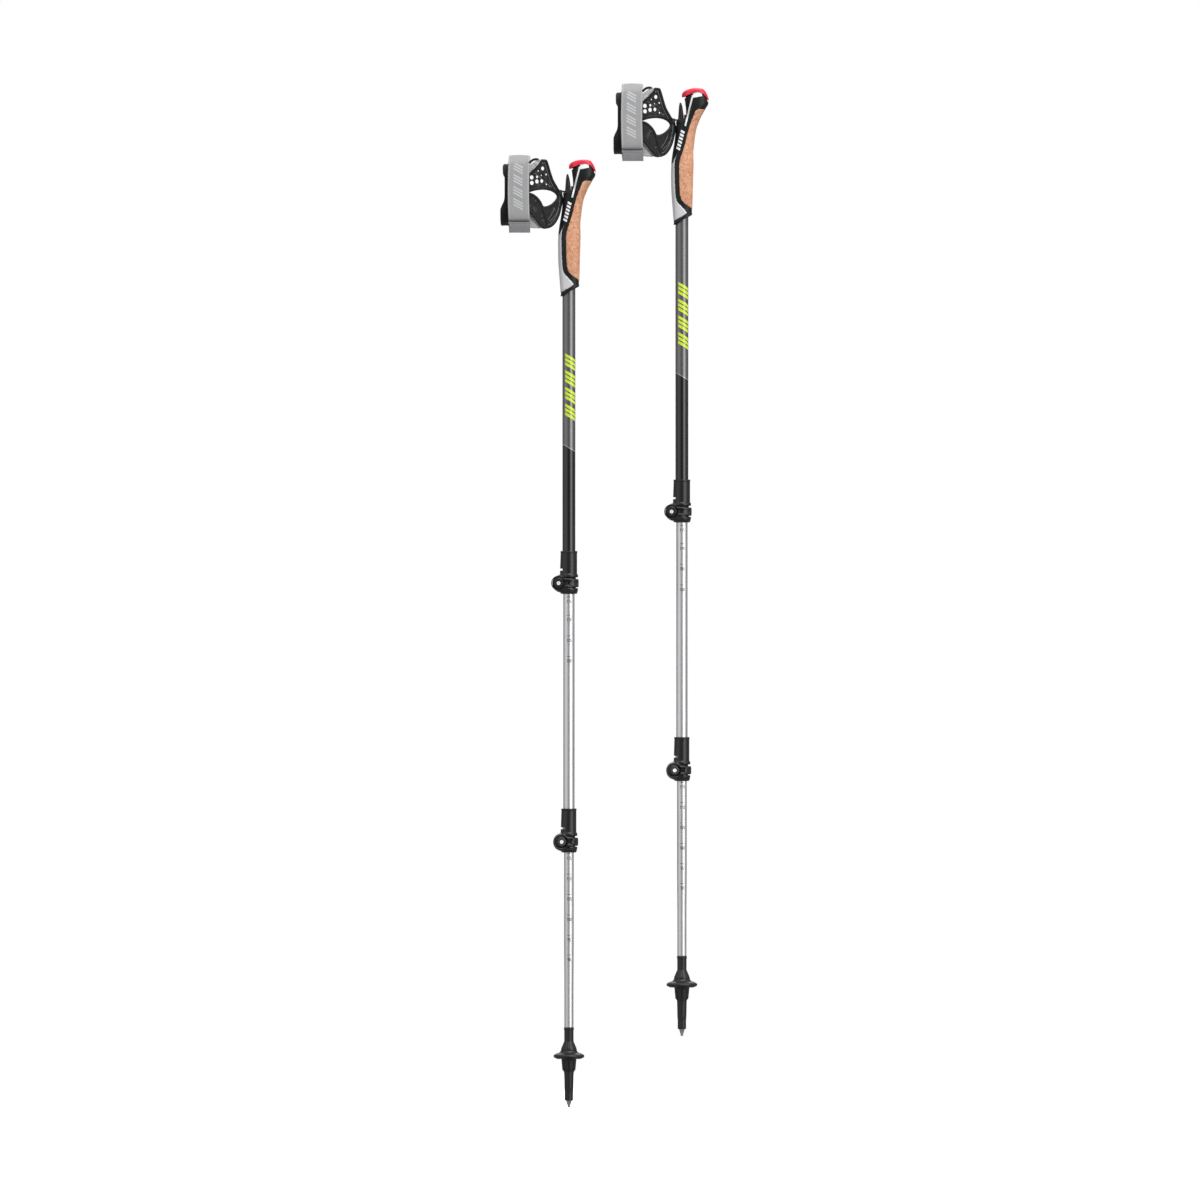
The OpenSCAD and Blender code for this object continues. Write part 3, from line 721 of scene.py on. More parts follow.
def make_thumb_button(material):
    """The cap: a domed shell over the neck."""
    centre_x, half_x, half_y = 16.45, 16.6, 14.25
    wall, inner_rise = 0.95, 2.45

    def dome(power, inset, rise):
        rows = []
        for elevation in map(math.radians, CAP_RINGS):
            reach, height = math.cos(elevation) ** power, math.sin(elevation) ** power
            row = []
            for t in GRIP_ANGLES:
                x = centre_x + (half_x - inset) * signed_power(math.cos(t), SKIN_POWER) * reach
                y = (half_y - inset) * signed_power(math.sin(t), SKIN_POWER) * reach
                low = cap_under(x)
                row.append((x, y, low + (rise or cap_over(x) - low) * height))
            rows.append(row)
        return rows

    outer = dome(0.42, 0.0, None)
    inner = dome(0.28, wall, inner_rise)
    rim = []
    for inset, dz in ((0.12, -0.08), (0.45, -0.12), (0.8, -0.08)):
        row = []
        for (x, y, _), (inner_x, inner_y, _) in zip(outer[0], inner[0]):
            k = inset / wall
            px = x + (inner_x - x) * k
            row.append((px, y + (inner_y - y) * k, cap_under(px) + dz))
        rim.append(row)
    add_pair("thumb_button", "button", loft(outer[::-1] + rim + inner), material,
             replaces="release_button", crease=50)


def make_spring(material):
    """The coil under the cap, closer at its end turns."""
    z0, z1, turns, radius, wire, centre_x, steps = 1135.6, 1152.2, 7.5, 3.3, 0.4, 11.5, 240
    path = []
    for k in range(steps + 1):
        u = k / steps
        rise = u - 0.09 * math.sin(2 * math.pi * u)
        a = 2 * math.pi * turns * u
        path.append((centre_x + radius * math.cos(a), radius * math.sin(a),
                     z0 + (z1 - z0) * rise))
    pair = add_pair("coil_spring", "upper", sweep(path, ellipse(wire, wire, 12)), material,
                    replaces="button_spring", crease=60)
    for side, ob in zip(SIDES, pair):
        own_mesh(ob)


# fin: height, x of its -X edge, x of its +X edge, half width in y
FIN_STATIONS = [
    (1123.2, -5.6, 2.9, 3.9), (1124.2, -5.0, 2.55, 3.2), (1126.5, -4.8, 2.35, 2.9),
    (1130, -4.5, 2.25, 2.8), (1133.7, -4.2, 1.85, 2.7), (1137, -4.0, 1.4, 2.6),
    (1139.8, -3.8, 0.95, 2.5), (1142.5, -3.5, 0.4, 2.3), (1144.7, -3.15, -0.25, 1.9),
    (1145.8, -2.85, -0.6, 1.5), (1146.35, -2.5, -0.95, 1.1), (1146.6, -2.1, -1.35, 0.5)]
# saddle below the fin: height, inset of its edge
SADDLE = [(1119.6, 1.2), (1119.8, 0.55), (1120.3, 0.15), (1121, 0.0), (1122.6, 0.0),
          (1123.4, 0.18), (1123.9, 0.6), (1124.05, 1.3), (1124.1, 2.6)]


def make_fin(material):
    heights, *columns = zip(*FIN_STATIONS)
    low_x, high_x, half_width = (pchip(heights, column) for column in columns)
    fin = []
    for z in [*np.linspace(1123.2, 1144, 34), *np.linspace(1144.4, 1146.6, 14)]:
        a, b = low_x(z), high_x(z)
        section = superellipse((b - a) / 2, half_width(z), 0.8, 48)
        fin.append([((a + b) / 2 + x, y, z) for x, y in section])
    saddle = [[(-2.3 + x, y, z) for x, y in superellipse(4.9 - inset, 5.0 - inset, 0.45, 64)]
              for z, inset in SADDLE]
    add_pair("hook_fin", "upper", join(loft(fin), loft(saddle)), material,
             replaces="fin_hook", crease=50)


# ---------------------------------------------------------------- meshes from distance fields
def surface_nets(field, origin, h):
    """Quad mesh of the zero level of a sampled distance field (negative inside)."""
    nx, ny, nz = field.shape
    solid = field < 0
    corners = [(0, 0, 0), (1, 0, 0), (0, 1, 0), (1, 1, 0),
               (0, 0, 1), (1, 0, 1), (0, 1, 1), (1, 1, 1)]

    def at_corner(a, c):
        return a[c[0]:nx - 1 + c[0], c[1]:ny - 1 + c[1], c[2]:nz - 1 + c[2]]

    count = sum(at_corner(solid, c).astype(np.int8) for c in corners)
    active = (count > 0) & (count < 8)
    total = np.zeros((nx - 1, ny - 1, nz - 1, 3), np.float32)
    crossings = np.zeros((nx - 1, ny - 1, nz - 1), np.float32)
    for i, a in enumerate(corners):
        for b in corners[i + 1:]:
            if sum(abs(p - q) for p, q in zip(a, b)) != 1:
                continue
            fa, fb = at_corner(field, a), at_corner(field, b)
            cross = (fa < 0) != (fb < 0)
            t = np.where(cross, fa / np.where(cross, fa - fb, 1), 0)
            for k in range(3):
                total[..., k] += np.where(cross, a[k] + t * (b[k] - a[k]), 0)
            crossings += cross
    index = -np.ones((nx - 1, ny - 1, nz - 1), np.int64)
    cells = np.argwhere(active)
    index[active] = np.arange(len(cells))
    points = (cells + total[active] / crossings[active][:, None]) * h + np.array(origin)
    faces = []
    for axis, others in enumerate([(1, 2), (2, 0), (0, 1)]):
        low = [slice(1, s - 1) for s in field.shape]
        low[axis] = slice(0, field.shape[axis] - 1)
        high = list(low)
        high[axis] = slice(1, field.shape[axis])
        e = np.argwhere(solid[tuple(low)] != solid[tuple(high)])
        for other in others:
            e[:, other] += 1
        flip = solid[tuple(e.T)]
        u, w = np.eye(3, dtype=int)[others[0]], np.eye(3, dtype=int)[others[1]]
        quads = np.stack([index[tuple(p.T)] for p in (e - u - w, e - w, e, e - u)], 1)
        quads[~flip] = quads[~flip][:, ::-1]
        faces.append(quads)
    return points, np.vstack(faces)


def sample(distance, low, high, h):
    """Meshes distance(x, y, z) over a box, with the points then drawn onto the surface."""
    axes = [np.arange(a, b + h, h, dtype=np.float32) for a, b in zip(low, high)]
    field = distance(*np.meshgrid(*axes, indexing="ij")).astype(np.float32)
    points, faces = surface_nets(field, low, h)
    e = 0.05
    for _ in range(2):
        x, y, z = points.T
        gradient = np.stack([distance(x + e, y, z) - distance(x - e, y, z),
                             distance(x, y + e, z) - distance(x, y - e, z),
                             distance(x, y, z + e) - distance(x, y, z - e)], 1) / (2 * e)
        slope = np.linalg.norm(gradient, axis=1)
        step = np.clip(distance(x, y, z) / np.maximum(slope, 0.3), -0.3 * h, 0.3 * h)
        points = points - gradient / np.maximum(slope, 1e-6)[:, None] * step[:, None]
    return points, faces


def blend(a, b, k):
    """Union with a fillet of size k."""
    q = np.clip(0.5 + 0.5 * (b - a) / k, 0, 1)
    return b * (1 - q) + a * q - k * q * (1 - q)


def trim(a, b, k):
    """Intersection with a fillet of size k."""
    return -blend(-a, -b, k)


def carve(a, b, k):
    """a without b, with a fillet of size k."""
    return trim(a, -b, k)


def overlap(first, *others):
    for other in others:
        first = np.maximum(first, other)
    return first


def box(px, py, pz, half_x, half_y, half_z, corner):
    qx = np.abs(px) - (half_x - corner)
    qy = np.abs(py) - (half_y - corner)
    qz = np.abs(pz) - (half_z - corner)
    outside = np.sqrt(np.maximum(qx, 0) ** 2 + np.maximum(qy, 0) ** 2 + np.maximum(qz, 0) ** 2)
    return outside + np.minimum(np.maximum(qx, np.maximum(qy, qz)), 0) - corner


def cylinder(from_axis, along, radius, half, corner):
    a, b = from_axis - (radius - corner), np.abs(along) - (half - corner)
    outside = np.sqrt(np.maximum(a, 0) ** 2 + np.maximum(b, 0) ** 2)
    return outside + np.minimum(np.maximum(a, b), 0) - corner


# ---------------------------------------------------------------- clamps
# A clamp is modelled about the shaft with z = 0 at its screw. The screw lies along Y at
# x = -eye, and the lever's pin lies along Z at x = -eye, y = PIN_Y.
PIN_Y = 9.0
# name, screw z, sleeve top, upper tube, inner tube, sleeve radius, eye, turn (degrees), body
CLAMPS = [("upper", 644, 39.5, UPPER_RADIUS, MIDDLE_RADIUS, 10.1, 12.65, 0, "upper"),
          ("lower", 326.4, 40.8, MIDDLE_RADIUS, LOWER_RADIUS, 9.2, 11.65, 14, "middle")]


def housing_field(top, upper_tube, inner_tube, sleeve, eye):
    ear_x = -eye + 2.95

    def distance(x, y, z):
        r = np.hypot(x, y)
        a = np.arctan2(y, x)
        # sleeve, a little wider low down on its -X side where it is split
        k = np.clip((z - 14) / (top - 14), 0, 1)
        left = np.clip(-np.cos(a), 0, 1) ** 2
        wide = sleeve + 0.9 * (1 - k) * left
        d = cylinder(r - wide + sleeve, z - (top + 8) / 2, sleeve, (top - 8) / 2, 0.5)
        # moulded rim at the sleeve's mouth, then the shoulder, the core and the foot
        d = blend(d, cylinder(r, z - (top - 1.3), sleeve + 0.28, 1.1, 0.4), 0.4)
        d = blend(d, cylinder(r, z - 9, sleeve + 1.25, 2.0, 1.3), 1.2)
        d = blend(d, cylinder(r, z + 1, sleeve - 1.5, 10, 0.4), 0.5)
        taper = np.clip(-6.0 - z, 0, 7) ** 2 * 0.028
        d = blend(d, cylinder(r + taper, z + 9.65, sleeve + 1.25, 3.65, 1.3), 0.8)
        # ears: one full rounded bulge about the screw
        from_ear = np.hypot(x - ear_x, (z + 0.4) * 0.98)
        bulge = from_ear + 0.012 * np.clip(-y - 1, 0, 9) ** 2
        d = blend(d, cylinder(bulge, y + 2.1, 10.8, 6.9, 3.2), 1.6)
        # raised ring about the dial pocket
        from_screw = np.hypot(x + eye, z)
        d = blend(d, cylinder(np.abs(from_screw - 8.6) + 8, y + 8.2, 8.55, 0.9, 0.4), 0.5)
        # two finger ridges across the front: height, half height, rise
        for ridge_z, half, out in ((4.4, 1.5, 1.2), (-3.7, 2.0, 1.35)):
            width = np.abs(x + 1.3) - 7.2
            rise = r - (sleeve + out * np.clip(1.15 - 0.10 * np.abs(x + 2.0), 0.2, 1))
            ridge = overlap(trim(rise, np.abs(z - ridge_z) - half, 1.0), width, y + 3)
            d = blend(d, ridge, 0.7)
        # two rounded bars in front of them: height, half height
        for bar_z, half in ((4.3, 1.5), (-4.0, 1.9)):
            oval = np.sqrt(((y + 10.75) / 1.35) ** 2 + ((z - bar_z) / (half + 0.25)) ** 2)
            bar = trim((oval - 1) * 1.35, np.abs(x + 5.2) - 4.9, 0.8)
            d = blend(d, trim(bar, y + 10.05, 0.15), 0.35)
        # hollow between the ridges
        hollow = overlap(np.abs(z - 0.4) - 2.0, -(x + 6.2), x - 8, sleeve - 1.6 - r, y + 3)
        d = carve(d, hollow - 0.1, 0.6)
        # the groove that the lever lies in, from the front right round to the back
        groove = cylinder(r, z, 40, 6.0, 0.1)
        degrees = np.degrees(a)
        span = np.maximum((-52 - degrees), (degrees - 128)) * r * math.pi / 180
        d = carve(d, overlap(groove, sleeve - 1.32 - r, span), 0.25)
        # bore, and the wider bore above for the upper tube
        d = carve(d, r - (inner_tube + 0.12), 0.15)
        d = carve(d, overlap(r - (upper_tube + 0.1), 11 - z), 0.1)
        # slit, and the notch across its top
        d = carve(d, overlap(np.abs(y) - 0.8, x + inner_tube - 0.6, z - 18), 0.3)
        d = carve(d, overlap(np.abs(z - 16.6) - 1.15, x + inner_tube + 0.55), 0.5)
        # dial pocket, screw hole, and room for the pin and the lever's fork
        d = carve(d, overlap(from_screw - 7.75, y + 5.2), 0.25)
        d = carve(d, from_screw - 1.75, 0.15)
        return carve(d, overlap(np.hypot(x + eye, y - PIN_Y) - 4.25, np.abs(z) - 6), 0.2)
    return distance


def lever_field(sleeve, eye):
    tip_angle, root_angle = -88, 116     # degrees round the shaft
    middle, half = (tip_angle + root_angle) / 2, (root_angle - tip_angle) / 2

    def distance(x, y, z):
        r = np.hypot(x, y)
        angle = np.degrees(np.arctan2(y, x))
        angle = np.where(angle < -150, angle + 360, angle)
        # band: a box in radius, arc and height; its tip narrows to a leaf
        tip = np.clip((-38 - angle) / 50.0, 0, 1)
        half_height = 5.1 * np.sqrt(np.clip(1 - tip ** 1.7, 0.0004, 1))
        arc = (angle - middle) * math.pi / 180 * (sleeve + 0.4)
        thick = 1.6 - 0.35 * tip
        crown = 0.055 * z ** 2 * 0.35
        swell = 0.35 * np.exp(-((angle + 40) / 26.0) ** 2)
        centre = sleeve + 0.42 + swell * 0.5
        d = box(r - centre + crown * 0.5, arc, z, thick + swell * 0.5,
                half * math.pi / 180 * (sleeve + 0.4), half_height, 0.7)
        # shallow dish on the leaf, and three ribs beside it
        dish = np.hypot((angle + 58) * math.pi / 180 * sleeve * 0.75, z * 1.25) - 3.3
        d = carve(d, trim(dish, (sleeve + 1.62) - r, 0.5), 0.5)
        above = r - sleeve - 2.0
        for rib_angle in (-32, -27, -22):
            rib = np.hypot((angle - rib_angle) * math.pi / 180 * sleeve,
                           np.maximum(above, 0) + np.minimum(above, 0) * 0.5) - 0.42
            d = blend(d, overlap(rib, np.abs(z) - 3.4), 0.35)
        # eye barrel and the link that joins it to the band
        from_pin = np.hypot(x + eye, y - PIN_Y)
        barrel = cylinder(from_pin, z, 3.9, 5.1, 0.6)
        link = box(x + eye - 4.6, y - PIN_Y - 1.25, z, 4.4, 1.75, 5.1, 0.6)
        d = blend(d, blend(barrel, link, 0.8), 0.9)
        # inner face, pin hole and the fork's gap
        d = trim(d, sleeve - 1.18 - r, 0.2)
        d = carve(d, from_pin - 2.55, 0.15)
        return carve(d, box(x + eye + 1.65, y - PIN_Y, z, 4.35, 6, 2.0, 0.3), 0.3)
    return distance


# finger dial, turned about the screw: radius, y
DIAL = [(1.55, -5.45), (7.3, -5.45), (7.3, -8.2), (6.2, -8.75), (5.6, -9.8), (3.2, -9.9),
        (2.5, -9.5), (2.42, -8.8), (1.55, -8.8)]


def dial_notches(a, r, z):
    return -0.32 * (0.5 + 0.5 * math.cos(24 * a)) ** 2 if r > 6.4 else 0.0


def make_clamps(housing_material, lever_material, dial_material):
    h = 0.42
    for name, screw_z, top, upper_tube, inner_tube, sleeve, eye, turn, body in CLAMPS:
        c, s = math.cos(math.radians(turn)), math.sin(math.radians(turn))

        def placed(shape):
            """Turned about the shaft and raised to the clamp's height."""
            v, faces = np.asarray(shape[0]), np.asarray(shape[1])
            moved = np.stack([v[:, 0] * c - v[:, 1] * s, v[:, 0] * s + v[:, 1] * c, v[:, 2]], 1)
            return (moved + np.array([0, 0, screw_z])).tolist(), faces.tolist()

        housing = sample(housing_field(top, upper_tube, inner_tube, sleeve, eye),
                         (-22.5, -13.2, -15.0), (13.2, 13.2, top + 1.5), h)
        add_pair(name + "_clamp_housing", body, placed(housing), housing_material,
                 replaces=name + "_clamp_body", crease=70)
        lever = sample(lever_field(sleeve, eye), (-18.5, -14.5, -6.5), (14.5, 14.5, 6.5),
                       h * 0.9)
        add_pair(name + "_clamp_arm", name + "_lever", placed(lever), lever_material,
                 replaces=name + "_clamp_lever", crease=70)
        verts, faces = lathe(rounded(DIAL, 0.3, 3), 192, dial_notches)
        dial = [(x - eye, z, -y) for x, y, z in verts], faces
        add_pair(name + "_clamp_knob", name + "_tension", placed(dial), dial_material,
                 replaces=name + "_clamp_dial", crease=45)


# ---------------------------------------------------------------- shafts and scales
SHAFT_POINTS = 144
# strokes of each digit in a unit square
DIGITS = {
    "0": [(0, 0.2), (0, 0.8), (0.2, 1), (0.8, 1), (1, 0.8), (1, 0.2), (0.8, 0), (0.2, 0),
          (0, 0.2)],
    "1": [(0.25, 0.78), (0.6, 1), (0.6, 0)],
    "5": [(0.95, 1), (0.1, 1), (0.05, 0.56), (0.7, 0.6), (1, 0.42), (1, 0.16), (0.8, 0),
          (0.2, 0), (0, 0.14)],
    "9": [(1, 0.6), (0.8, 0.46), (0.2, 0.46), (0, 0.62), (0, 0.84), (0.2, 1), (0.8, 1),
          (1, 0.84), (1, 0.3), (0.8, 0), (0.15, 0)]}
# scale marks: number, height of its dash
MIDDLE_MARKS = [("115", 627.0), ("110", 604.6), ("105", 579.3), ("100", 554.1)]
LOWER_MARKS = [("115", 311.7), ("110", 286.6), ("105", 261.8), ("100", 236.7), ("95", 211.7),
               ("90", 187.4)]
# the lower tube narrows to its lower end: heights, radii
LOWER_TAPER = (150, 200), (5.65, LOWER_RADIUS)


def make_tube(name, body, profile, material, replaces):
    shape = lathe(supported(rounded(profile, 0.15, 2)), SHAFT_POINTS)
    add_pair(name, body, shape, material, replaces=replaces)


def tube_profile(radius, bottom, top):
    bore = radius - TUBE_WALL
    return [(bore, bottom), (radius, bottom), (radius, top), (bore, top)]


def scale_strokes(marks, width, gap):
    """A dash for each mark with its number below it, as lines in (across, z)."""
    centre, height, drop, half_dash = 0.3, 3.6, 7.4, 2.4
    strokes = []
    for text, z in marks:
        strokes.append([(-half_dash, z), (half_dash, z)])
        total = len(text) * width + (len(text) - 1) * gap
        for i, digit in enumerate(text):
            x0 = centre - total / 2 + i * (width + gap)
            strokes.append([(x0 + a * width, z - drop + b * height) for a, b in DIGITS[digit]])
    return strokes


def make_scale(name, body, radius_at, strokes, width, material):
    """Thin printed strokes wrapped on the front of a round shaft."""
    below, proud = -0.05, 0.035
    section = ((-1, below), (-1, proud), (1, proud), (1, below))
    lap = width / 2 * 0.7
    shapes = []
    for points in strokes:
        for (x0, z0), (x1, z1) in zip(points, points[1:]):
            length = math.hypot(x1 - x0, z1 - z0)
            ux, uz = (x1 - x0) / length, (z1 - z0) / length
            n = max(1, int(length / 0.5))
            rows = []
            for k in range(n + 1):
                t = -lap + (length + 2 * lap) * k / n
                row = []
                for side, out in section:
                    across = x0 + ux * t - uz * width / 2 * side
                    z = z0 + uz * t + ux * width / 2 * side
                    r = radius_at(z)
                    a = -math.pi / 2 + across / r
                    row.append(((r + out) * math.cos(a), (r + out) * math.sin(a), z))
                rows.append(row)
            shapes.append(loft(rows))
    add_pair(name, body, join(*shapes), material, smooth=False)


def make_shafts(paint, anodised, ink):
    make_tube("upper_shaft", "upper", tube_profile(UPPER_RADIUS, 655.2, 1098), paint,
              "upper_tube")
    make_tube("middle_shaft", "middle", tube_profile(MIDDLE_RADIUS, 338.6, 790), anodised,
              "middle_tube")
    lower = [(4.85, 98.4), (5.65, 98.4), (5.65, 150, 3), (6, 200, 3), (6, 470), (5.2, 470),
             (5.2, 201), (4.85, 199)]
    make_tube("lower_shaft", "lower", lower, anodised, "lower_tube")
    make_scale("middle_scale", "middle", lambda z: MIDDLE_RADIUS,
               scale_strokes(MIDDLE_MARKS, width=1.25, gap=0.95), 0.62, ink)
    make_scale("lower_scale", "lower", lambda z: float(np.interp(z, *LOWER_TAPER)),
               scale_strokes(LOWER_MARKS, width=1.2, gap=0.9), 0.6, ink)


# ---------------------------------------------------------------- tip and basket
# turned profiles: radius, z and, where it differs, the corner's rounding
TIP = [
    (0, 9.5), (2.5, 8.4, 0.1), (4.55, 8.4), (5.2, 9.1), (5.2, 19.0), (5.6, 24, 0.8),
    (5.85, 36, 0.6), (6.05, 43.6), (6.9, 44.4), (6.9, 45.4), (6.3, 46), (6.3, 69.6, 0.1),
    (9.9, 70.15, 0.5), (9.6, 72.4, 0.8), (6.7, 79.2, 1.2), (5.75, 81.2, 0.6),
    (5.75, 94.6, 0.2), (6.15, 95.2, 0.25), (6.15, 98.2, 0.4), (5.0, 98.42, 0.1),
    (4.83, 98.8, 0), (4.83, 123.8, 0.3), (0, 124)]
BASKET = [
    (6.95, 69.8, 0.1), (9.9, 70.1, 0.5), (11.0, 68.0, 0.8), (13.3, 66.5, 1.2), (16, 65.9, 1.0),
    (17.7, 65.2, 0.8), (18.75, 64.2, 0.7), (19.05, 63.0, 0.7), (18.6, 61.6, 0.7),
    (17.3, 60.7, 0.8), (14.5, 60.15, 1.0), (11.4, 60.0, 0.8), (9.6, 59.6, 0.6),
    (9.15, 57.6, 0.6), (8.55, 50.4, 0.8), (8.1, 46.0, 0.4), (7.5, 45.3, 0.3),
    (6.95, 45.5, 0.1)]
CARBIDE = [
    (0, 0.75), (0.75, 0.75, 0.1), (1.3, 0.0, 0.15), (1.65, 0.25, 0.15), (1.65, 3.0, 0.1),
    (2.05, 3.2, 0.2), (3.55, 8.2, 0.3), (3.5, 8.42, 0.05), (2.46, 8.5, 0.1),
    (2.46, 23.6, 0.2), (0, 23.7)]


def make_tip(material):
    def flutes(a, r, z):
        return -0.28 * max(0.0, math.cos(8 * a)) ** 6 if 71.6 < z < 79.6 else 0.0

    profile = supported(rounded(TIP, 0.35, 4, closed=False), closed=False)
    add_pair("flex_tip", "lower", lathe(profile, SHAFT_POINTS, flutes, closed=False), material,
             replaces="tip_shank", crease=45)


def make_basket(material):
    """A dished disc with eight radial ribs, over a grooved hub."""
    def hub_grooves(a, r, z):
        if z < 59.4 and r > 7.2:
            return -1.0 * max(0.0, math.cos(8 * a)) ** 10 * smooth01((59.4 - z) / 2.2)
        return 0.0

    inner, outer, run_out = 10.5, 17.6, 1.6      # radial reach of the ribs
    verts, faces = lathe(rounded(BASKET, 0.5, 5), 288, hub_grooves)
    ribbed = []
    for x, y, z in verts:
        r = math.hypot(x, y)
        if inner < r < outer:
            fade = smooth01((r - inner) / run_out) * smooth01((outer - r) / run_out)
            rib = max(0.0, math.cos(8 * math.atan2(y, x) + math.pi)) ** 3
            z += (0.5 * rib * fade) if z > 63 else (-0.55 * rib * fade)
        ribbed.append((x, y, z))
    add_pair("snow_basket", "basket", (ribbed, faces), material,
             replaces="basket", crease=50)


def make_hard_point(material):
    """A fluted cone that carries a four-lobed cutting point."""
    def lobes(a, r, z):
        if z < 3.1:
            return -r * 0.13 * (1 - math.cos(4 * a)) * 0.5
        return -0.16 * max(0.0, math.cos(6 * a)) ** 4 if 3.4 < z < 8.0 else 0.0

    profile = supported(rounded(CARBIDE, 0.2, 3, closed=False), closed=False)
    add_pair("hard_point", "lower", lathe(profile, 96, lobes, closed=False), material,
             replaces="carbide_tip")


# ---------------------------------------------------------------- strap: hand web
# The web is a curved surface given by x and z; outlines are x, z in its side view.
WEB = [
    (-52, 1146), (-47, 1150), (-42, 1154.6), (-37.8, 1160), (-36.2, 1162.8), (-33, 1163.9),
    (-28.9, 1163.7), (-26.8, 1162.2), (-24.5, 1155.8), (-22, 1147.9), (-18.9, 1139.3),
    (-13.6, 1129.5), (-10.3, 1125.4), (-8.6, 1122.6), (-7.7, 1119.4), (-7.35, 1116.4),
    (-7.75, 1112), (-8.5, 1107.6), (-11.0, 1097.2), (-13.8, 1090.3), (-17.2, 1084.8),
    (-20.6, 1081.3), (-24.6, 1079.3), (-29.4, 1078.5), (-33.4, 1079.2), (-37.2, 1083.4),
    (-41, 1088.4), (-47.7, 1097.6), (-52, 1102)]
THUMB_HOLE = [
    (-49.5, 1122.6), (-45, 1124.2), (-41, 1125.3), (-36, 1126.1), (-31.3, 1126.5),
    (-26, 1126.2), (-21.5, 1125.2), (-17.9, 1123.4), (-15.4, 1121.1), (-14.4, 1118.9),
    (-14.9, 1116.6), (-16.9, 1113.6), (-19.2, 1111.3), (-21.8, 1109.1), (-26.4, 1106.8),
    (-30.4, 1106.1), (-32.6, 1107.4), (-34.3, 1111), (-36.6, 1114.8), (-39, 1117.4),
    (-42, 1119.6), (-45.5, 1121.4)]
THUMB_STRAP = [
    (-52, 1123.2), (-47.7, 1122.6), (-44, 1121.2), (-40.4, 1118.4), (-37.2, 1114.8),
    (-34.6, 1110.6), (-32.6, 1105.6), (-31.0, 1099.6), (-28.9, 1092.4), (-26.6, 1086.6),
    (-26.0, 1083), (-27.2, 1080.2), (-30.4, 1078.9), (-33.6, 1079.9), (-37.2, 1083.8),
    (-41, 1088.8), (-47.7, 1098.0), (-52, 1103)]
LINING = [
    (-53, 1103), (-47.5, 1098.4), (-41, 1089), (-36.5, 1083), (-33.4, 1079.8), (-36, 1079.0),
    (-42, 1079.0), (-48, 1079.9), (-53, 1081.5)]
LACING = [
    (-53, 1151.2), (-47.6, 1156.4), (-43.6, 1159.6), (-40.2, 1162.6), (-37.8, 1163.7),
    (-35.6, 1163.2), (-35.2, 1160.8), (-37.9, 1157.6), (-41.8, 1152.9), (-47.6, 1147.4),
    (-53, 1142.4)]
# ventilation holes: x, z, radius
VENTS = [
    (-45.5, 1141.4, 2.3), (-45.3, 1134.7, 2.3), (-38.8, 1136.6, 2.35), (-38.5, 1142.2, 1.5),
    (-32.7, 1137.2, 2.1), (-26.9, 1133.4, 1.15), (-31.8, 1152.6, 2.2), (-27.4, 1145.4, 1.2),
    (-33.2, 1144.2, 0.9), (-37.2, 1149.4, 0.9), (-22.6, 1131.2, 0.7)]
# piping on the web: path, rise, half width, half thickness, sideways shift, number of points
BINDING = [
    (WEB[1:-3], 1.15, 1.75, 0.95, 2.0, 150),
    (THUMB_STRAP[1:9] + [(-27.0, 1087.0), (-26.4, 1083.6)], 2.95, 1.6, 0.85, 1.5, 70),
    ([(-47.7, 1098.0), (-41, 1088.8), (-37.2, 1083.8), (-33.8, 1080.0), (-30.8, 1079.2)],
     2.95, 1.15, 0.75, -1.2, 40),
    ([(-48.5, 1158.6), (-46.2, 1161.2), (-43.6, 1163.0), (-40.8, 1163.6), (-38.0, 1163.3)],
     1.4, 1.5, 1.3, 0.0, 30),
    (THUMB_HOLE[:10], 1.05, 1.5, 0.85, -1.7, 80)]
SEAMS = [
    (WEB[3:-3], 1.15, 0.3, 0.3, 4.5, 150),
    ([(-42.5, 1147.2), (-37.5, 1142.8), (-31.5, 1138.0), (-26.5, 1133.2), (-21.5, 1130.4)],
     1.2, 0.28, 0.28, 0.0, 40),
    ([(-12.9, 1104.5), (-16.2, 1098.2), (-20.2, 1092.6), (-24.6, 1087.6)],
     1.5, 0.28, 0.28, 0.0, 30),
    ([(-18.8, 1104.5), (-22.2, 1097.2), (-26.2, 1090.0)], 1.5, 0.28, 0.28, 0.0, 24),
    ([(-48.2, 1098.2), (-44.6, 1093.6), (-40.4, 1088.0), (-36.6, 1083.2), (-33.6, 1080.2)],
     2.2, 0.32, 0.32, 0.6, 40)]
WEB_STEP = 0.8


def web_y(x):
    """Depth of the web: from the grip's centre plane forward to the front of the cuff."""
    u = min(1.0, max(0.0, (-9.0 - x) / 38.0))
    return -24.3 * math.sin(u * math.pi / 2)


def wave(x, z):
    """Gentle waves of the cloth, fading out at both ends."""
    fade = smooth01((-12 - x) / 12)
    return 0.55 * math.sin(z / 9.0 + x / 13.0) * fade * smooth01((x + 47) / 8)


def web_normal(x):
    """Unit normal of the web in plan, pointing to the front."""
    e = 0.05
    slope = (web_y(x + e) - web_y(x - e)) / (2 * e)
    length = math.hypot(1, slope)
    return (slope / length, -1 / length)


def on_web(x, z, out, drape=wave):
    nx, ny = web_normal(x)
    out += drape(x, z)
    return (x + nx * out, web_y(x) + ny * out, z)


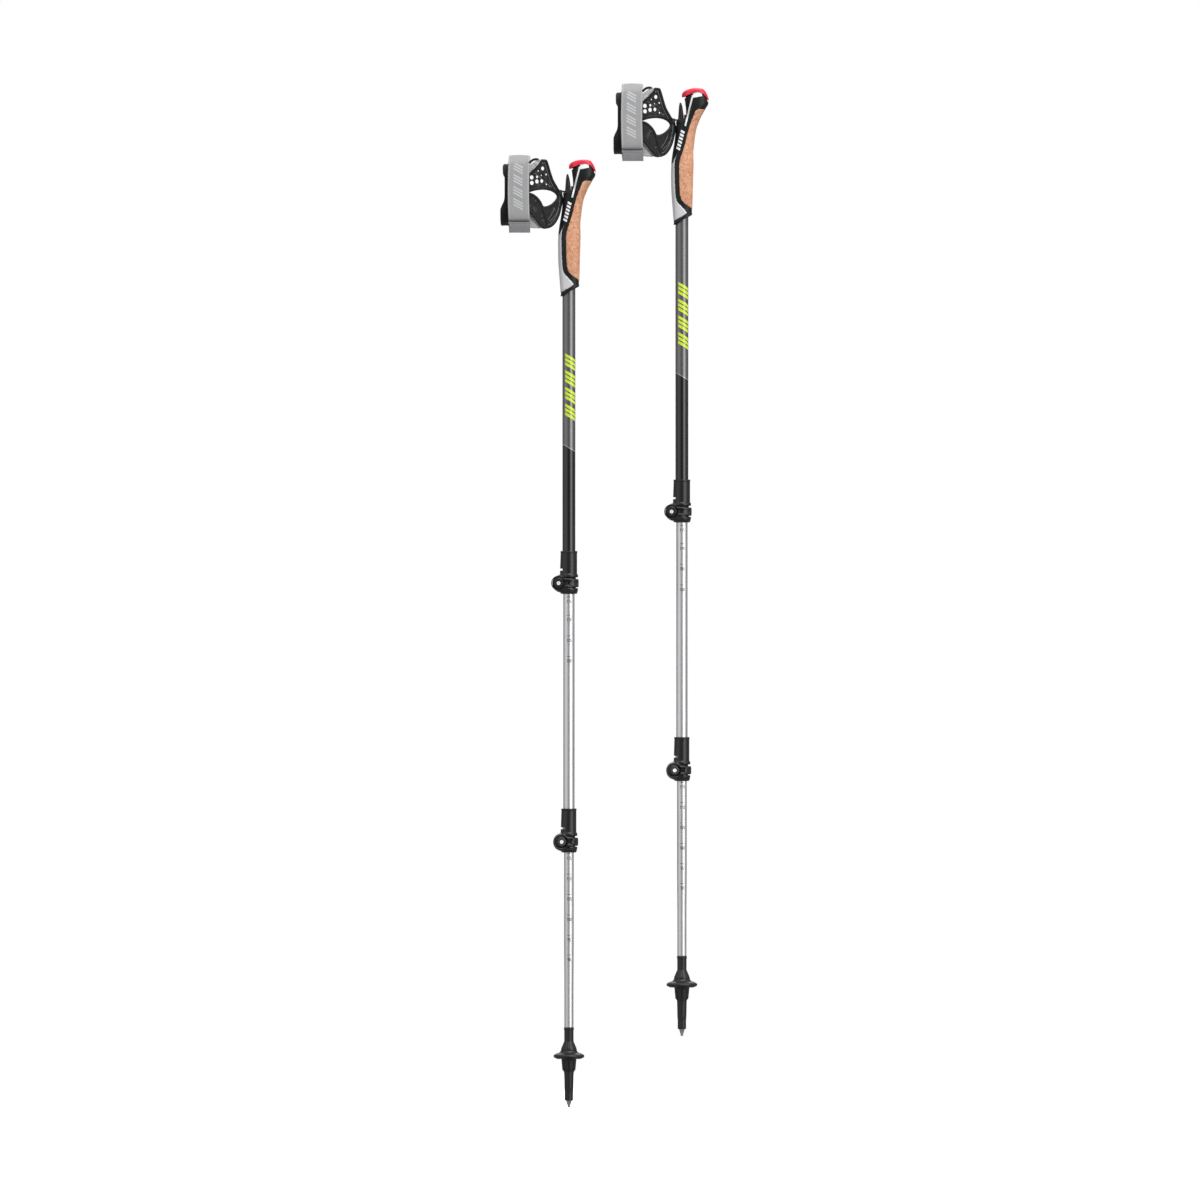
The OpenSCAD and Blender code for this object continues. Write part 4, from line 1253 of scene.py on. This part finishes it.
def web_layer(outline, rise, step, holes=(), front=0.0, back=0.9, drape=wave):
    """Padded sheet on the web: rise(x, z, to_edge, to_vent) is (front rise, back rise)."""
    flat, triangles = sheet(outline, step, holes)
    edges = [resample(outline, step)] + [resample_hole(h, step) for h in holes[:1]]
    vents = [resample_hole(h, step) for h in holes[1:]]
    to_edge, to_vent = edge_distance(flat, edges), edge_distance(flat, vents)
    rises = [rise(x, z, d, v) for (x, z), d, v in zip(flat, to_edge, to_vent)]
    return thicken(triangles,
                   [on_web(x, z, front + up, drape) for (x, z), (up, _) in zip(flat, rises)],
                   [on_web(x, z, front - back - down, drape)
                    for (x, z), (_, down) in zip(flat, rises)])


def rolled(d, width, low, high):
    """Rise of a rolled edge of a width, at distance d from the edge."""
    k = (d - width / 2) / (width / 2)
    return low * 0.3 + (high - low * 0.3) * math.sqrt(max(0.0, 1 - k * k))


def web_rise(x, z, d, vent):
    if d < 4.3:
        up = rolled(d, 4.3, 0.75, 1.75)
    else:
        up = 0.75 + 0.35 * smooth01((d - 4.3) / 2.0) - 0.3 * math.exp(-((d - 4.5) / 0.45) ** 2)
    # a little collar round each ventilation hole
    up = min(up, 0.1 + 0.9 * smooth01(vent / 1.1)) + 0.22 * math.exp(-((vent - 0.9) / 0.5) ** 2)
    return up, 0.45 * smooth01(d / 1.5)


def thumb_rise(x, z, d, vent):
    if d < 2.6:
        up = rolled(d, 2.6, 0.8, 1.35)
    else:
        # quilted cells across the strap
        q = math.sin((x * 0.8 + z * 0.6) * 1.05) * math.sin((x * 0.6 - z * 0.8) * 0.75)
        up = (0.85 + 0.32 * (1 - abs(q)) * smooth01((d - 2.6) / 1.2)
              - 0.25 * math.exp(-((d - 2.9) / 0.35) ** 2))
    return up, 0.1 * smooth01(d / 1.5)


def lining_rise(x, z, d, vent):
    return 0.35 * smooth01(d / 1.0), 0.1


def lacing_rise(x, z, d, vent):
    return 0.3 + 0.55 * smooth01(d / 0.7) - 0.3 * math.exp(-((d - 1.5) / 0.3) ** 2), 0.1


def piping(points, out, half_width, half_thickness, shift, count, segments):
    path = np.array(smooth_path(points, count))
    tangents = np.gradient(path, axis=0)
    tangents /= np.linalg.norm(tangents, axis=1)[:, None]
    path = path + np.stack([tangents[:, 1], -tangents[:, 0]], 1) * shift
    return sweep([on_web(x, z, out) for x, z in path],
                 ellipse(half_width, half_thickness, segments),
                 up=[web_normal(x) + (0.0,) for x, z in path])


def make_piping(name, runs, segments, material):
    add_pair(name, "strap", join(*[piping(*run, segments) for run in runs]), material,
             crease=60)


def make_hand_web(material):
    vents = [[(x + a, z + b) for a, b in ellipse(r, r * 1.1, 18)] for x, z, r in VENTS]
    web = web_layer(WEB, web_rise, WEB_STEP, holes=[THUMB_HOLE] + vents)
    add_pair("hand_web", "strap", web, material,
             replaces="strap_web", crease=60)
    thumb = web_layer(THUMB_STRAP, thumb_rise, WEB_STEP, front=2.1, back=0.5)
    add_pair("thumb_strap", "strap", thumb, material, crease=60)


def make_web_trim(lining_material, lacing_material):
    """The grey lining below the thumb strap, and the pale webbing that runs up to the peak."""
    lining = web_layer(LINING, lining_rise, WEB_STEP * 1.2, front=-0.2, back=0.7,
                       drape=lambda x, z: -0.8)
    add_pair("cuff_lining", "strap", lining, lining_material, crease=60)
    lacing = web_layer(LACING, lacing_rise, WEB_STEP * 0.8, front=1.5, back=0.4)
    add_pair("lacing_strip", "strap", lacing, lacing_material, crease=60)


# ---------------------------------------------------------------- strap: cuff, loop and band
# Cuff and band run round the wrist as a stadium in y, z, its straight sides upright.
STRAIGHT_HALF = 18.0
WRIST_Z = 1124.2
CUFF_RADIUS, BAND_RADIUS = 23.75, 27.0
# x of the cuff's outer (-X) end at each height
CUFF_END = [(1078, -82.4), (1081, -83.6), (1090, -84.1), (1101.4, -84.1), (1107, -82.6),
            (1115, -79.6), (1122, -78.9), (1149.3, -78.9), (1155, -81.0), (1164, -81.3),
            (1168, -80.4)]
# moulded block at the loop's ends: x, half width in y, low z, high z
LOOP_BLOCK = [
    (-15.6, 3.4, 1122.6, 1126.4), (-15.3, 4.3, 1122.0, 1127.0), (-14.4, 4.9, 1121.4, 1127.3),
    (-12.4, 5.25, 1121.0, 1127.3), (-10.4, 5.4, 1120.7, 1127.2), (-8.9, 5.35, 1120.9, 1127.0),
    (-8.3, 4.9, 1121.4, 1126.7), (-8.1, 4.0, 1122.2, 1126.3)]
# paths in y, z of the band's front layer and of the pull tab
FRONT_LAYER = [(-27.2, 1158.5), (-28.0, 1152), (-28.5, 1142), (-28.8, 1128), (-28.9, 1112),
               (-28.8, 1099.5), (-28.35, 1093.6), (-27.35, 1089.9), (-25.9, 1087.8)]
TAB = [(-22.2, 1089.6), (-23.2, 1087.9), (-24.9, 1086.2), (-26.9, 1085.3), (-28.2, 1084.2),
       (-28.55, 1081.4), (-28.45, 1078), (-28.2, 1075.2), (-28.0, 1073.5)]


def stadium(n, radius):
    """n even points (y, z, normal z) of the stadium, shrunk so that its end radius is 1."""
    half = STRAIGHT_HALF / radius
    points = []
    for i in range(n):
        s = (4 * half + 2 * math.pi) * i / n
        if s < 2 * half:
            points.append((-1.0, half - s, 0.0))
        elif s < 2 * half + math.pi:
            a = math.pi + (s - 2 * half)
            points.append((math.cos(a), -half + math.sin(a), math.sin(a)))
        elif s < 4 * half + math.pi:
            points.append((1.0, -half + (s - 2 * half - math.pi), 0.0))
        else:
            a = s - 4 * half - math.pi
            points.append((math.cos(a), half + math.sin(a), math.sin(a)))
    return points


def spine_z(z, radius):
    """Full-size height of the stadium's centre line beside a shrunk height."""
    return max(-STRAIGHT_HALF, min(STRAIGHT_HALF, z * radius))


def make_cuff(material):
    """A padded ring with rolled edges that sits inside the band."""
    end_x, inner_x, steps = pchip(*zip(*CUFF_END)), -49.5, 30
    outer_radius, inner_radius = 24.2, 23.0
    # share of the way along x, whether on the outside, padding
    profile = [(k / steps, True, 0.35 * math.sin(k / steps * math.pi * 5) ** 2)
               for k in range(steps + 1)]
    profile += [(k / steps, False, 0.0) for k in range(steps, -1, -2)]
    rows = []
    for y0, z0, normal_z in stadium(200, CUFF_RADIUS):
        left = end_x(WRIST_Z + z0 * 24.6)
        row = []
        for u, outside, pad in profile:
            x = left + (inner_x - left) * u
            k = smooth01((x + 76.5) / 10)
            rim = min(u, 1 - u) * (inner_x - left)
            roll = quarter_round(rim, 1.6)
            if outside:
                radius = (outer_radius + 1.15 * roll * (1 - 0.35 * smooth01((rim - 3.0) / 0.8))
                          + pad * smooth01((rim - 3.5) / 1.5))
            else:
                radius = inner_radius - 0.9 * roll
            z = spine_z(z0, CUFF_RADIUS) + normal_z * radius
            row.append((x, y0 * radius * (0.92 + 0.08 * k),
                        1121.0 + 3.2 * k + z * (0.877 + 0.123 * k)))
        rows.append(row)
    add_pair("wrist_cuff", "strap", hoop(rows), material, crease=60)


def make_hook_loop(material):
    """Cord round the fin, its ends moulded into a tapered block."""
    half, bend_x, cord, cord_z = 4.4, -0.6, 0.85, 1125.15
    ends = (-11.5, -8, -4)
    path = [(x, half, cord_z) for x in ends]
    path += [(bend_x + half * math.sin(a), half * math.cos(a), cord_z)
             for a in np.linspace(0, math.pi, 25)]
    path += [(x, -half, cord_z) for x in reversed(ends)]
    block = [[(x, y, (low + high) / 2 + z)
              for y, z in superellipse(half_width, (high - low) / 2, 0.6, 48)]
             for x, half_width, low, high in LOOP_BLOCK]
    shape = join(sweep(smooth_path(path, 120), ellipse(cord, cord, 20)), loft(block))
    add_pair("hook_loop", "strap", shape, material,
             replaces="strap_loop", crease=50)


def hem_profile(steps=44):
    """Across the webbing: place from -1 to 1, rise with a hem along each edge."""
    profile = []
    for k in range(steps + 1):
        u = -1 + 2 * k / steps
        d = (1 - abs(u)) * 13.0
        profile.append((u, 0.9 * quarter_round(d, 0.8) + 0.16 * math.exp(-((d - 1.0) / 0.7) ** 2)
                        - 0.12 * math.exp(-((d - 2.2) / 0.35) ** 2)))
    return profile


HEM = hem_profile()
HEM_BACK = [u for u, _ in HEM[::-2]][1:-1]


def bow(z):
    """Sideways bow of the wrist band at a height."""
    return -1.3 * max(0.0, 1 - ((z - 1126) / 42) ** 2)


def webbing(path, x0, x1, thick):
    """Hemmed strip across x0 to x1 along a path in y, z."""
    tangents = np.gradient(path, axis=0)
    tangents /= np.linalg.norm(tangents, axis=1)[:, None]
    rows = []
    for (y, z), (ty, tz) in zip(path, tangents):
        ny, nz = tz, -ty
        if ny > 0:
            ny, nz = -ny, -nz
        start = x0 + bow(z)
        row = [(start + (x1 - x0) * (u + 1) / 2, y + ny * o * thick, z + nz * o * thick)
               for u, o in HEM]
        row += [(start + (x1 - x0) * (u + 1) / 2, y - ny * 0.25, z - nz * 0.25)
                for u in HEM_BACK]
        rows.append(row)
    return loft(rows)


def make_wrist_band(material):
    """Hemmed webbing ring with a front layer that hangs over it."""
    centre_x, half_width = -60.6, 13.1
    profile = [(u, BAND_RADIUS + o) for u, o in HEM]
    profile += [(u, BAND_RADIUS - 0.85 * quarter_round((1 - abs(u)) * 13, 0.8))
                for u in HEM_BACK]
    rows = []
    for y0, z0, normal_z in stadium(220, BAND_RADIUS):
        row = []
        for u, radius in profile:
            radius -= 0.9 * u * u * max(0.0, normal_z)
            z = WRIST_Z + (spine_z(z0, BAND_RADIUS) + normal_z * radius)
            row.append((centre_x + u * half_width + bow(z), y0 * radius, z))
        rows.append(row)
    layer = webbing(smooth_path(FRONT_LAYER, 90), -73.7, -47.5, 0.75)
    add_pair("wrist_webbing", "strap", join(hoop(rows), layer), material,
             replaces="wrist_band", crease=60)


def make_pull_tab(material):
    """A rolled keeper and the tab below it."""
    keeper = sweep([(x, -28.5 + 0.12 * math.cos(x), 1085.0)
                    for x in np.linspace(-73.9, -47.1, 40)], ellipse(0.8, 1.3, 20))
    tab = webbing(smooth_path(TAB, 70), -73.3, -47.3, 0.8)
    add_pair("pull_tab", "strap", join(keeper, tab), material, crease=60)


# ---------------------------------------------------------------- finishes
# Texture scales are per metre, lengths in metres.
def plastic(name, base, rough, bump):
    m = Finish(name)
    mottle = m.mottle(260)
    grain = m.grain(2200)
    dark, light = (tuple(c * k for c in base) for k in (1 - 0.25, 1 + 0.25))
    m.set(Base_Color=m.mix(mottle, dark, light),
          Roughness=m.linear(mottle, slope=0.14, offset=rough - 0.07))
    m.bump(grain, strength=bump, distance=0.00015)
    return m.material


def cork_finish():
    m = Finish("cork")
    cells = m.voronoi(560, m.scaled(1.0, 1.0, 0.8), output="Color")
    split = m.node("ShaderNodeSeparateColor")
    m.put(split.inputs[0], cells)
    cell = split.outputs[0]
    patches = m.mottle(90)
    base = m.ramp(cell, [(0.0, srgb(182, 126, 94)), (0.35, srgb(207, 150, 117)),
                         (0.7, srgb(216, 164, 132)), (1.0, srgb(224, 179, 149))])
    base = m.mix(m.times(patches, 0.5), base, srgb(192, 135, 103))
    specks = m.threshold(m.noise(1300, rough=0.7), low=0.60, high=0.70)
    m.set(Base_Color=m.mix(m.times(specks, 0.55), base, srgb(126, 76, 50)),
          Roughness=0.72, Specular_IOR_Level=0.25)
    height = m.plus(m.times(cell, 0.5), m.noise(1500, rough=0.6))
    m.bump(height, strength=0.28, distance=0.0003)
    return m.material


def panel_finish():
    m = Finish("grip_silver", Metallic=0.15)
    n = m.noise(700)
    m.set(Base_Color=m.mix(n, srgb(206, 205, 209), srgb(222, 221, 225)),
          Roughness=m.linear(n, slope=0.1, offset=0.33))
    m.bump(m.grain(3000), strength=0.04, distance=0.0001)
    return m.material


def white_finish():
    m = Finish("grip_white")
    n = m.noise(500)
    m.set(Base_Color=m.mix(n, srgb(232, 233, 234), srgb(246, 246, 247)), Roughness=0.42)
    m.bump(n, strength=0.03, distance=0.0001)
    return m.material


def core_finish(side):
    """Black rubbery plastic, with the white patch carried on to the neck below the cap."""
    m = Finish("grip_black_" + side)
    n = m.mottle(260)
    black = m.mix(n, (0.0042, 0.0056, 0.0052), (0.0085, 0.0102, 0.0097))
    x, y, z = m.xyz(side)
    across = m.between(x, 0.0136, 0.0245, soft=0.0003)
    on_faces = m.above(m.math("ABSOLUTE", y), 0.0062)
    high = m.above(z, 1.1533)
    # the patch's lower edge falls away to both sides of x = 0.018
    off_centre = m.math("ABSOLUTE", m.minus(x, 0.018))
    lower_edge = m.linear(off_centre, slope=-0.45, offset=1.1563)
    over_edge = m.above(m.minus(z, lower_edge), 0.0)
    patch = m.times(m.times(across, on_faces), m.times(high, over_edge))
    m.set(Base_Color=m.mix(patch, black, srgb(236, 237, 238)),
          Roughness=m.linear(n, slope=0.12, offset=0.36), Specular_IOR_Level=0.32)
    m.bump(m.grain(2600), strength=0.09, distance=0.00015)
    return m.material


def button_finish():
    m = Finish("red_button", Coat_Weight=0.25)
    n = m.mottle(240)
    m.set(Base_Color=m.mix(n, srgb(214, 22, 52), srgb(232, 34, 66)),
          Roughness=m.linear(n, slope=0.1, offset=0.34))
    m.bump(m.grain(2400), strength=0.05, distance=0.0001)
    return m.material


def weave(m, across, along):
    """Height of a plain weave from two crossed waves, in radians per metre."""
    x, y, z = m.xyz()
    around = m.plus(x, y)
    a = m.math("SINE", m.times(around, across))
    b = m.math("SINE", m.times(z, along))
    return m.linear(m.times(a, b), slope=0.5, offset=0.5)


def fabric(name, dark, light, across, along, rough=0.85, bump=0.5, sheen=0.2):
    m = Finish(name)
    threads = weave(m, across, along)
    n = m.mottle(180)
    tone = m.linear(n, slope=0.5, offset=m.times(threads, 0.5))
    m.set(Base_Color=m.mix(tone, dark, light), Roughness=rough, Specular_IOR_Level=0.2,
          Sheen_Weight=sheen, Sheen_Roughness=0.5)
    m.bump(m.plus(threads, m.times(m.grain(2200), 0.5)), strength=bump, distance=0.0002)
    return m


def web_finish(side):
    """Black air-mesh: fine pores and grey flecks."""
    m = Finish("strap_mesh_" + side)
    cells = m.voronoi(1150, m.scaled(1, 1, 1.1), randomness=0.25)
    pores = m.threshold(cells, low=0.18, high=0.42)
    base = m.mix(pores, (0.002, 0.002, 0.0023), (0.010, 0.010, 0.011))
    flecks = m.threshold(m.noise(240, detail=5, rough=0.65), low=0.55, high=0.64)
    m.set(Base_Color=m.mix(m.times(flecks, 0.6), base, (0.085, 0.085, 0.088)),
          Roughness=0.62, Specular_IOR_Level=0.3, Sheen_Weight=0.05)
    m.bump(pores, strength=0.5, distance=0.0003)
    return m.material


def slanted_bars(m, across, z, start, end, group_pitch, group, pitch, stroke, sides, side_soft):
    """Masks of slanted strokes in groups, and of the window they show in."""
    soft = 0.0001
    climb = m.linear(across, slope=0.55, offset=z)
    in_group = m.math("MODULO", m.minus(climb, start), group_pitch)
    strokes = m.times(m.between(m.math("MODULO", in_group, pitch), *stroke, soft),
                      m.between(in_group, *group, soft))
    window = m.times(m.between(across, *sides, side_soft), m.between(climb, start, end, soft))
    return strokes, window


def band_finish(side):
    """Pale grey hemmed webbing, with lighter woven slanted bars down its middle and a painted
    shadow above the tab.
    """
    m = Finish("strap_band_" + side)
    x, y, z = m.xyz(side)
    threads = weave(m, 7200, 8200)
    n = m.mottle(260)
    tone = m.linear(n, slope=0.4, offset=m.times(threads, 0.6))
    base = m.mix(tone, srgb(136, 136, 137), srgb(166, 166, 167))
    # distance from the band's bowed middle line
    off = m.linear(z, slope=1 / 0.042, offset=-1.126 / 0.042)
    bowed = m.math("MAXIMUM", m.minus(1.0, m.times(off, off)), 0.0)
    across = m.linear(bowed, slope=0.0013, offset=m.minus(x, -0.0606))
    hem = m.between(m.math("ABSOLUTE", across), 0.0112, 0.0126, soft=0.00025)
    base = m.mix(m.times(hem, 0.45), base, srgb(192, 192, 193))
    bars, window = slanted_bars(
        m, across, z, start=1.1036, end=1.1616, group_pitch=0.01465, group=(0.0002, 0.0100),
        pitch=0.0036, stroke=(0.0002, 0.0021), sides=(-0.0062, 0.0052), side_soft=0.00015)
    front = m.math("LESS_THAN", y, -0.024)
    mask = m.times(m.times(bars, window), front)
    base = m.mix(m.times(mask, 0.75), base, srgb(200, 201, 203))
    # painted shadow: a soft dark band where the band turns in above the tab, standing for the
    # shade in the fold
    painted_fold_shadow = m.map_range(z, 1.0868, 1.0908, at_start=0.72, at_end=0.0)
    m.set(Base_Color=m.mix(m.times(painted_fold_shadow, front), base, srgb(60, 60, 62)),
          Roughness=0.8, Specular_IOR_Level=0.25, Sheen_Weight=0.15)
    m.bump(m.plus(threads, m.times(n, 0.4)), strength=0.35, distance=0.00018)
    return m.material


def paint_finish(side):
    """Upper tube: gloss black above a slanting break with a pale edge, grey lacquer below it.

    Lime slanted bars run round the front of the tube.
    """
    m = Finish("upper_paint_" + side)
    x, y, z = m.xyz(side)
    n = m.noise(900)
    grey = m.mix(n, srgb(111, 111, 112), srgb(118, 118, 120))
    black = m.mix(n, (0.002, 0.002, 0.0022), (0.0035, 0.0035, 0.0038))
    over_break = m.minus(z, m.linear(x, slope=-0.60, offset=0.8102))
    is_grey = m.map_range(over_break, -0.0001, 0.0001)
    base = m.mix(is_grey, black, grey)
    edge = m.between(over_break, -0.0004, 0.0006, soft=0.0001)
    base = m.mix(edge, base, srgb(176, 176, 178))
    angle = m.math("ARCTAN2", y, x)
    arc = m.times(m.plus(angle, math.radians(74)), UPPER_RADIUS * MM)
    bars, window = slanted_bars(
        m, arc, z, start=0.8462, end=0.9248, group_pitch=0.0205, group=(0.0002, 0.0158),
        pitch=0.0053, stroke=(0.0003, 0.0040), sides=(-0.0072, 0.0078), side_soft=0.0001)
    m.set(Base_Color=m.mix(m.times(bars, window), base, srgb(206, 228, 40)))
    metallic = m.map_range(is_grey, 0.0, 1.0, at_start=0.0, at_end=0.8)
    not_lime = m.minus(1.0, m.times(bars, window))
    m.set(Metallic=m.times(metallic, not_lime),
          Roughness=m.plus(m.linear(n, slope=0.06, offset=0.20), m.times(is_grey, 0.10)),
          Coat_Weight=0.5, Coat_Roughness=0.16)
    m.bump(m.grain(2600), strength=0.03, distance=0.0001)
    return m.material


def metal(name, base, rough, streaked=False, bump=0.04, metallic=1.0):
    m = Finish(name, Metallic=metallic)
    n = m.mottle(120, coord=m.scaled(1, 1, 0.02) if streaked else None)
    fine = m.noise(1800, coord=m.scaled(1, 1, 0.06) if streaked else None)
    m.set(Base_Color=m.mix(n, tuple(c * 0.93 for c in base),
                           tuple(min(1.0, c * 1.05) for c in base)),
          Roughness=m.linear(fine, slope=0.08, offset=rough - 0.04))
    m.bump(fine, strength=bump, distance=0.0001)
    return m.material


def ink_finish():
    m = Finish("scale_ink", Roughness=0.5)
    m.set(Base_Color=m.mix(m.noise(900), (0.045, 0.045, 0.048), (0.07, 0.07, 0.075)))
    return m.material


def lacing_finish():
    """Pale webbing with broken dark slanted flecks."""
    m = fabric("strap_lacing", srgb(150, 150, 151), srgb(196, 196, 197), 6500, 7000, bump=0.4)
    x, y, z = m.xyz()
    stripes = m.math("SINE", m.times(m.plus(x, z), 2300))
    n = m.noise(420, rough=0.6)
    flecks = m.times(m.above(stripes, 0.45), m.above(n, 0.5))
    base = m.shader.inputs["Base Color"].links[0].from_socket
    m.set(Base_Color=m.mix(m.times(flecks, 0.85), base, (0.012, 0.012, 0.013)))
    return m.material


core = {side: core_finish(side) for side in SIDES}
web = {side: web_finish(side) for side in SIDES}
band = {side: band_finish(side) for side in SIDES}
paint = {side: paint_finish(side) for side in SIDES}
cork = cork_finish()
panel = panel_finish()
white = white_finish()
red = button_finish()
fin_black = plastic("fin_black", (0.014, 0.0145, 0.015), rough=0.34, bump=0.08)
clamp_black = plastic("clamp_black", (0.0095, 0.0095, 0.0105), rough=0.30, bump=0.05)
lever_black = plastic("lever_black", (0.0105, 0.0105, 0.0115), rough=0.27, bump=0.04)
knob_black = plastic("knob_black", (0.013, 0.013, 0.014), rough=0.36, bump=0.08)
tip_black = plastic("tip_black", (0.0115, 0.0115, 0.0125), rough=0.36, bump=0.10)
basket_black = plastic("basket_black", (0.0105, 0.0105, 0.0115), rough=0.42, bump=0.12)
nylon = plastic("bush_nylon", (0.03, 0.03, 0.032), rough=0.45, bump=0.06)
anodised = metal("anodised", srgb(228, 228, 230), rough=0.36, streaked=True)
steel = metal("steel", srgb(214, 214, 216), rough=0.24)
carbide = metal("carbide", srgb(176, 176, 178), rough=0.34, bump=0.1)
ink = ink_finish()
cuff_cloth = fabric("cuff_fabric", (0.006, 0.006, 0.0065), (0.019, 0.019, 0.02),
                    across=5200, along=5600).material
lining_cloth = fabric("cuff_lining", srgb(150, 150, 151), srgb(182, 182, 183),
                      across=5200, along=5600, bump=0.4).material
tab_cloth = fabric("tab_webbing", srgb(104, 104, 106), srgb(142, 142, 144),
                   across=5600, along=6000).material
cord_cloth = fabric("cord", (0.014, 0.014, 0.015), (0.04, 0.04, 0.042),
                    across=6800, along=9000).material
lacing_cloth = lacing_finish()
binding_cloth = fabric("strap_binding", (0.005, 0.005, 0.0055), (0.014, 0.014, 0.015),
                       across=6200, along=7400, rough=0.5, bump=0.25, sheen=0.05).material
seam_cloth = fabric("strap_seam", srgb(92, 92, 94), srgb(138, 138, 140),
                    across=9000, along=9000, bump=0.4).material
bright = metal("screw_bright", srgb(250, 250, 251), rough=0.42, metallic=0.25)
latch_red = plastic("latch_red", srgb(150, 24, 44), rough=0.38, bump=0.05)

make_core(core)
make_cork(cork)
make_panel(panel)
make_white_marks(white)
make_thumb_button(red)
make_spring(steel)
make_fin(fin_black)
make_clamps(clamp_black, lever_black, knob_black)
make_shafts(paint, anodised, ink)
make_tip(tip_black)
make_basket(basket_black)
make_hard_point(carbide)
make_piping("strap_binding", BINDING, 14, binding_cloth)
make_piping("strap_seams", SEAMS, 8, seam_cloth)
make_hand_web(web)
make_cuff(cuff_cloth)
make_web_trim(lining_cloth, lacing_cloth)
make_hook_loop(cord_cloth)
make_wrist_band(band)
make_pull_tab(tab_cloth)

# CAD pieces that keep their own meshes: material, slot
KEPT = {
    "button_pushrod": (steel, "steel"), "strap_latch": (latch_red, "red_button"),
    "upper_clamp_pin": (steel, "steel"), "upper_clamp_screw": (bright, "steel"),
    "middle_bush": (nylon, "bush_nylon"), "lower_clamp_pin": (steel, "steel"),
    "lower_clamp_screw": (bright, "steel"), "lower_bush": (nylon, "bush_nylon")}
for side in SIDES:
    for name, (material, slot) in KEPT.items():
        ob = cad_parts[side + "_" + name]
        ob.data.materials.clear()
        ob.data.materials.append(material)
        for polygon in ob.data.polygons:
            polygon.material_index = 0


# ---------------------------------------------------------------- stage, light, camera
def make_floor():
    """A disc below the tips at full length, near white to the camera."""
    n, radius, centre_x, z = 64, 4.0, 0.04, -0.153
    mesh = bpy.data.meshes.new("stage_floor")
    rim = [(x + centre_x, y, z) for x, y in ellipse(radius, radius, n)]
    mesh.from_pydata(rim, [], [tuple(range(n))])
    mesh.update()
    ob = bpy.data.objects.new("stage_floor", mesh)
    bpy.context.scene.collection.objects.link(ob)
    m = Finish("stage_floor", Roughness=0.9, Specular_IOR_Level=0.0,
               Emission_Color=(1, 1, 1, 1))
    clouds = m.grain(3.0)
    to_camera = m.node("ShaderNodeLightPath").outputs["Is Camera Ray"]
    pale = m.mix(clouds, (0.80, 0.80, 0.80), (0.82, 0.82, 0.82))
    m.set(Base_Color=m.mix(to_camera, (0.30, 0.30, 0.30), pale),
          Emission_Strength=m.times(to_camera, 0.8))
    mesh.materials.append(m.material)


# light round the poles: angle from the camera's side towards +X in degrees, strength
LIGHT = [
    (-180, 2.3), (-170, 1.7), (-161, 0.5), (-150, 0.26), (-131, 0.24), (-112, 0.34),
    (-88, 0.62), (-66, 0.90), (-46, 0.95), (-30, 0.66), (-16, 0.28), (0, 0.12), (14, 0.15),
    (23, 0.7), (30, 2.7), (50, 3.3), (58, 1.9), (66, 0.9), (78, 0.5), (92, 0.36),
    (108, 0.26), (131, 0.24), (150, 0.26), (161, 0.5), (170, 1.7), (180, 2.3)]
LIGHT_FULL = 4                 # strength that white in the ramp stands for


def make_world():
    """White to the camera; everything else is lit by the ramp and a soft overhead glow."""
    world = bpy.data.worlds.new("studio")
    bpy.context.scene.world = world
    world.use_nodes = True
    world.node_tree.nodes.clear()
    w = Nodes(world.node_tree)
    output = w.node("ShaderNodeOutputWorld")
    seen = w.node("ShaderNodeBackground")
    lighting = w.node("ShaderNodeBackground")
    for background in (seen, lighting):
        background.inputs[0].default_value = (1, 1, 1, 1)
    seen.inputs[1].default_value = 1.0
    mix = w.node("ShaderNodeMixShader")
    path = w.node("ShaderNodeLightPath")
    split = w.node("ShaderNodeSeparateXYZ")
    w.put(split.inputs[0], w.node("ShaderNodeTexCoord").outputs["Generated"])
    x, y, z = split.outputs
    angle = w.math("ARCTAN2", x, w.times(y, -1))
    turn = w.map_range(angle, -math.pi, math.pi)
    around = w.ramp(turn, [((a + 180) / 360, (k / LIGHT_FULL,) * 3) for a, k in LIGHT])
    overhead = w.map_range(z, 0.35, 1.0, at_start=0.0, at_end=0.35)
    w.put(lighting.inputs[1], w.linear(around, slope=float(LIGHT_FULL), offset=overhead))
    w.put(mix.inputs[0], path.outputs["Is Camera Ray"])
    w.put(mix.inputs[1], lighting.outputs[0])
    w.put(mix.inputs[2], seen.outputs[0])
    w.put(output.inputs[0], mix.outputs[0])


def make_top_light():
    light = bpy.data.lights.new("soft_top", "AREA")
    light.shape = "DISK"
    light.size = 1.6
    light.energy = 30
    ob = bpy.data.objects.new("soft_top", light)
    ob.location = (0.5, -1.3, 3.0)
    target = Vector((0.04, 0, 0.5))
    ob.rotation_euler = (target - ob.location).to_track_quat("-Z", "Y").to_euler()
    bpy.context.scene.collection.objects.link(ob)


def make_camera():
    distance, view_width = 12.0, 1.4742      # width seen at the poles
    camera = bpy.data.cameras.new("camera")
    camera.sensor_width = 36.0
    camera.lens = 36.0 * distance / view_width
    camera.clip_start = 0.1
    camera.clip_end = 60
    ob = bpy.data.objects.new("camera", camera)
    ob.location = (0.0382, -distance, 0.6233)
    ob.rotation_euler = (math.pi / 2, 0, 0)
    scene = bpy.context.scene
    scene.collection.objects.link(ob)
    scene.camera = ob
    scene.view_settings.view_transform = "Standard"
    scene.view_settings.look = "None"


make_floor()
make_world()
make_top_light()
make_camera()
